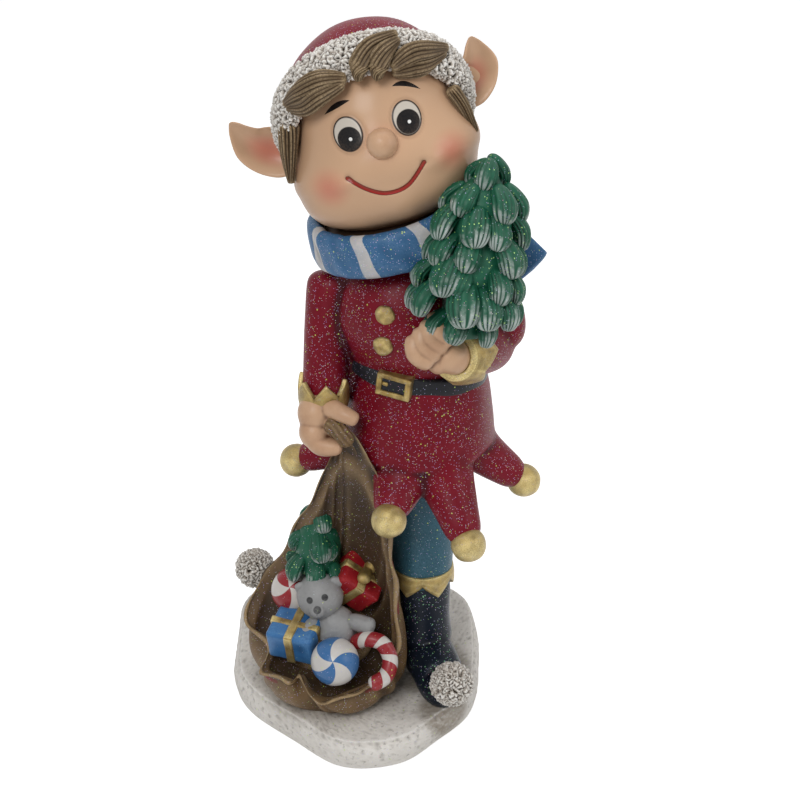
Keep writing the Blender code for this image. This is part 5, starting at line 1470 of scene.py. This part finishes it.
finish_piece(gathers, sack_brown, "sack_paint", reach=12, depth=0.0005)
# The filling under the toys is painted wholly in that darker copy: painted shade between the toys.
filling = ball("sack_filling", sack_floor - Vector((0, 0, 0.004)), 0.030, sides=64, rings=40,
               stretch=(1.05, 1.0, 0.75), marks={**no_marks, "lining": lambda t, r: 1.0})
roughen(filling, 90, 0.0015)
finish_piece(filling, sack_brown, "sack_paint", reach=10, depth=0.0005)

# %% [markdown]
# ## Toys
# The balls and the cane have painted swirls.  Each swirl is a wave noted on the
# mesh that the paint cuts at zero, so its edge stays sharp.  The bear has inked
# eyes, a nose and a small mouth.  The gifts are bevelled boxes with raised
# ribbons, and the red one has a bow.

# %% Balls, bear, gifts, small fir and candy cane
TOY_BALL_RADIUS = 0.0158
BEAR_HEAD_RADIUS = 0.0155
GIFT_SIZE = 0.027
RIBBON_WIDTH = 0.006
CANE_RADIUS = 0.0052
x, y, z = sack_floor


def two_tone(first, second):
    """A pattern rule: one colour where the wave is below zero, the other above."""
    def rule(tree_):
        wave = noted(tree_, "wave")
        return mixed(tree_, step_mask(tree_, wave, -0.06, 0.06), first, second)
    return rule


toy_white, toy_red, toy_blue = (0.62, 0.59, 0.55), (0.28, 0.007, 0.013), (0.035, 0.14, 0.34)
swirl_red = paint("red swirl", toy_red, (0.10, 0.02, 0.02), (0.7, 0.6, 0.58), rough=0.30, wash=0.7, brush=0.2,
                  blotch=0.1, flakes=0.08, sparks=0.008, pattern=two_tone(toy_white, toy_red), coat=0.1)
swirl_blue = paint("blue swirl", toy_blue, (0.02, 0.05, 0.12), (0.6, 0.6, 0.65), rough=0.30,
                   wash=0.7, brush=0.2, blotch=0.1, flakes=0.08, sparks=0.008,
                   pattern=two_tone(toy_white, toy_blue), coat=0.1)
gift_red = paint("gift red", toy_red, (0.08, 0.004, 0.006), (0.55, 0.05, 0.05), rough=0.34, brush=0.4,
                 flakes=0.05, sparks=0.015)
gift_blue = paint("gift blue", toy_blue, (0.01, 0.04, 0.10), (0.12, 0.30, 0.55), rough=0.34, brush=0.4,
                  flakes=0.03, sparks=0.01)


def swirl_ball(name, spot, material, looking):
    """A ball whose swirl of six arms turns about the direction it looks in."""
    turned = leaning((0, 0, 0), looking)
    marks = {"wave": lambda turn, rise: math.sin(3.0 * turn + 2.6 * (1.0 - rise) * 2.0)}
    piece = ball(name, spot, TOY_BALL_RADIUS, sides=96, rings=64, turned=turned, marks=marks)
    return finish_piece(piece, material, "toy_paint", reach=6, depth=0.0004)


swirl_ball("red_ball", (x - 0.022, y + 0.010, z + 0.026), swirl_red, (-0.15, -0.75, 0.65))
swirl_ball("blue_ball", (x + 0.0065, y - 0.038, z + 0.003), swirl_blue, (-0.05, -0.80, 0.58))

bear_spot = Vector((x - 0.004, y - 0.007, z + 0.0335))


def bear_face(tree_):
    """Grey fur with inked eyes, nose and mouth on the front of the head."""
    place = add(tree_, "TexCoord").outputs["Object"]
    colour = BEAR_FUR
    for spot, size in (((-0.0060, -0.0130, 0.0052), 0.0021), ((0.0040, -0.0131, 0.0076), 0.0021),
                       ((-0.0010, -0.0172, 0.0004), 0.0025), ((-0.0012, -0.0168, -0.0028), 0.0011),
                       ((-0.0014, -0.0160, -0.0044), 0.0011), ((-0.0016, -0.0150, -0.0058), 0.0011)):
        centre = bear_spot + Vector(spot)
        gap = add(tree_, "VectorMath", operation="DISTANCE")
        tree_.links.new(place, gap.inputs[0])
        gap.inputs[1].default_value = centre
        ink = step_mask(tree_, gap.outputs["Value"], size * 1.25, size * 0.95)
        colour = mixed(tree_, ink, colour, (0.006, 0.006, 0.008))
    return colour


bear_grey = paint("bear grey", BEAR_FUR, (0.06, 0.055, 0.05), (0.42, 0.42, 0.41), rough=0.45,
                  brush=0.5, flakes=0.03, sparks=0.012, pattern=bear_face)
bear = [ball("head", bear_spot, BEAR_HEAD_RADIUS, sides=48, rings=32),
        ball("snout", bear_spot + Vector((-0.001, -BEAR_HEAD_RADIUS * 0.8, -0.0025)),
             BEAR_HEAD_RADIUS * 0.36),
        ball("body", bear_spot + Vector((0.010, -0.005, -0.024)), BEAR_HEAD_RADIUS,
             stretch=(0.95, 0.9, 1.15))]
for side in (-1, 1):
    ear_root = bear_spot + Vector((0.55 * side, 0.0, 0.40 + 0.12 * side)) * BEAR_HEAD_RADIUS
    ear_root.y += 0.001
    ear_tip = bear_spot + Vector((0.95 * side - 0.06, 0.0, 0.75 + 0.16 * side)) * BEAR_HEAD_RADIUS
    ear_tip.y -= 0.001
    bear.append(limb("ear", [ear_root, ear_root.lerp(ear_tip, 0.6), ear_tip], [0.0046, 0.0052, 0.0026],
                     flat=0.6))
    shoulder = bear_spot + Vector((0.008 + 0.010 * side, -0.006, -0.015))
    reach_ = Vector((0.018, -0.008, -0.001)) if side > 0 else Vector((-0.009, -0.013, -0.007))
    bear.append(limb("arm", [shoulder, shoulder + reach_ * 0.6, shoulder + reach_],
                     [BEAR_HEAD_RADIUS * share for share in (0.34, 0.38, 0.36)]))
bear = melt("bear", bear, 0.0006, 4)
roughen(bear, 500, 0.00018)
finish_piece(bear, bear_grey, "toy_paint", reach=14, depth=0.0005)


def gift(name, place, size, material):
    """A soft-edged box with a raised ribbon round it."""
    box = roughen(block(name, place, size, 0.0022), 120, 0.0004)
    finish_piece(box, material, "toy_paint", reach=8, depth=0.0003)
    bands = ((f"{name}_ribbon", (RIBBON_WIDTH, size[1] * 1.06, size[2] * 1.07)),
             (f"{name}_cross_ribbon", (size[0] * 1.05, RIBBON_WIDTH * 0.8, size[2] * 1.06)))
    for title, band in bands:
        ribbon = roughen(block(title, place, band, 0.0008), 160, 0.0004)
        finish_piece(ribbon, gold, "gold_paint", reach=8, depth=0.0003)


red_frame = (Matrix.Translation((x + 0.0195, y + 0.006, z + 0.037)) @ rotation(38, "Y")
             @ rotation(25, "X"))
gift("red_gift", red_frame, (GIFT_SIZE * 1.15, GIFT_SIZE, GIFT_SIZE * 0.9), gift_red)
bow = []
for side in (-1, 1):
    knot = red_frame @ Vector((0.0004 * side, GIFT_SIZE * (0.05 - 0.07 * side), GIFT_SIZE * 0.48))
    loop = red_frame @ Vector((0.002 * side, GIFT_SIZE * (0.05 + 0.42 * side), GIFT_SIZE * 0.62))
    bow.append(limb("loop", [knot, knot.lerp(loop, 0.6), loop],
                    [RIBBON_WIDTH * 0.5, RIBBON_WIDTH * 0.78, RIBBON_WIDTH * 0.72], flat=0.8))
finish_piece(melt("bow", bow, 0.0005, 2), gold, "gold_paint", reach=8, depth=0.0003)
blue_frame = (Matrix.Translation((x - 0.0195, y - 0.016, z + 0.008))
              @ rotation(-20, "Z") @ rotation(14, "X"))
gift("blue_gift", blue_frame, (GIFT_SIZE * 1.2, GIFT_SIZE, GIFT_SIZE * 0.85), gift_blue)

cane = [(x + 0.018, y - 0.020, z + 0.004), (x + 0.027, y - 0.026, z + 0.012),
        (x + 0.037, y - 0.029, z + 0.011), (x + 0.0425, y - 0.034, z + 0.002),
        (x + 0.0395, y - 0.042, z - 0.006), (x + 0.029, y - 0.047, z - 0.010)]
cane_piece = limb("candy_cane", cane, [CANE_RADIUS] * len(cane), sides=48, rings=150, wide=(0, 0.3, 1),
                  marks={"wave": lambda turn, rise: 0.35 - math.sin(turn + rise * 34.0)})
finish_piece(cane_piece, swirl_red, "toy_paint", reach=6, depth=0.0004)
toy_base = Vector((x - 0.006, y + 0.012, z + 0.042))
fir("toy_fir", toy_base, toy_base + Vector((0.002, 0.004, TOY_TREE_HEIGHT)), TOY_TREE_RADIUS, TOY_FIR_TIERS,
    BOUGH_LENGTH * 0.80, BOUGH_WIDTH * 0.80)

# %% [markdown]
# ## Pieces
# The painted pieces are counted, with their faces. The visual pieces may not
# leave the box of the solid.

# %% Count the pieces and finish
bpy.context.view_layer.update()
dressed = [o for o in bpy.data.objects if o.type == "MESH" and "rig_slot" in o]
print(len(dressed), "pieces with", sum(len(o.data.polygons) for o in dressed), "faces")
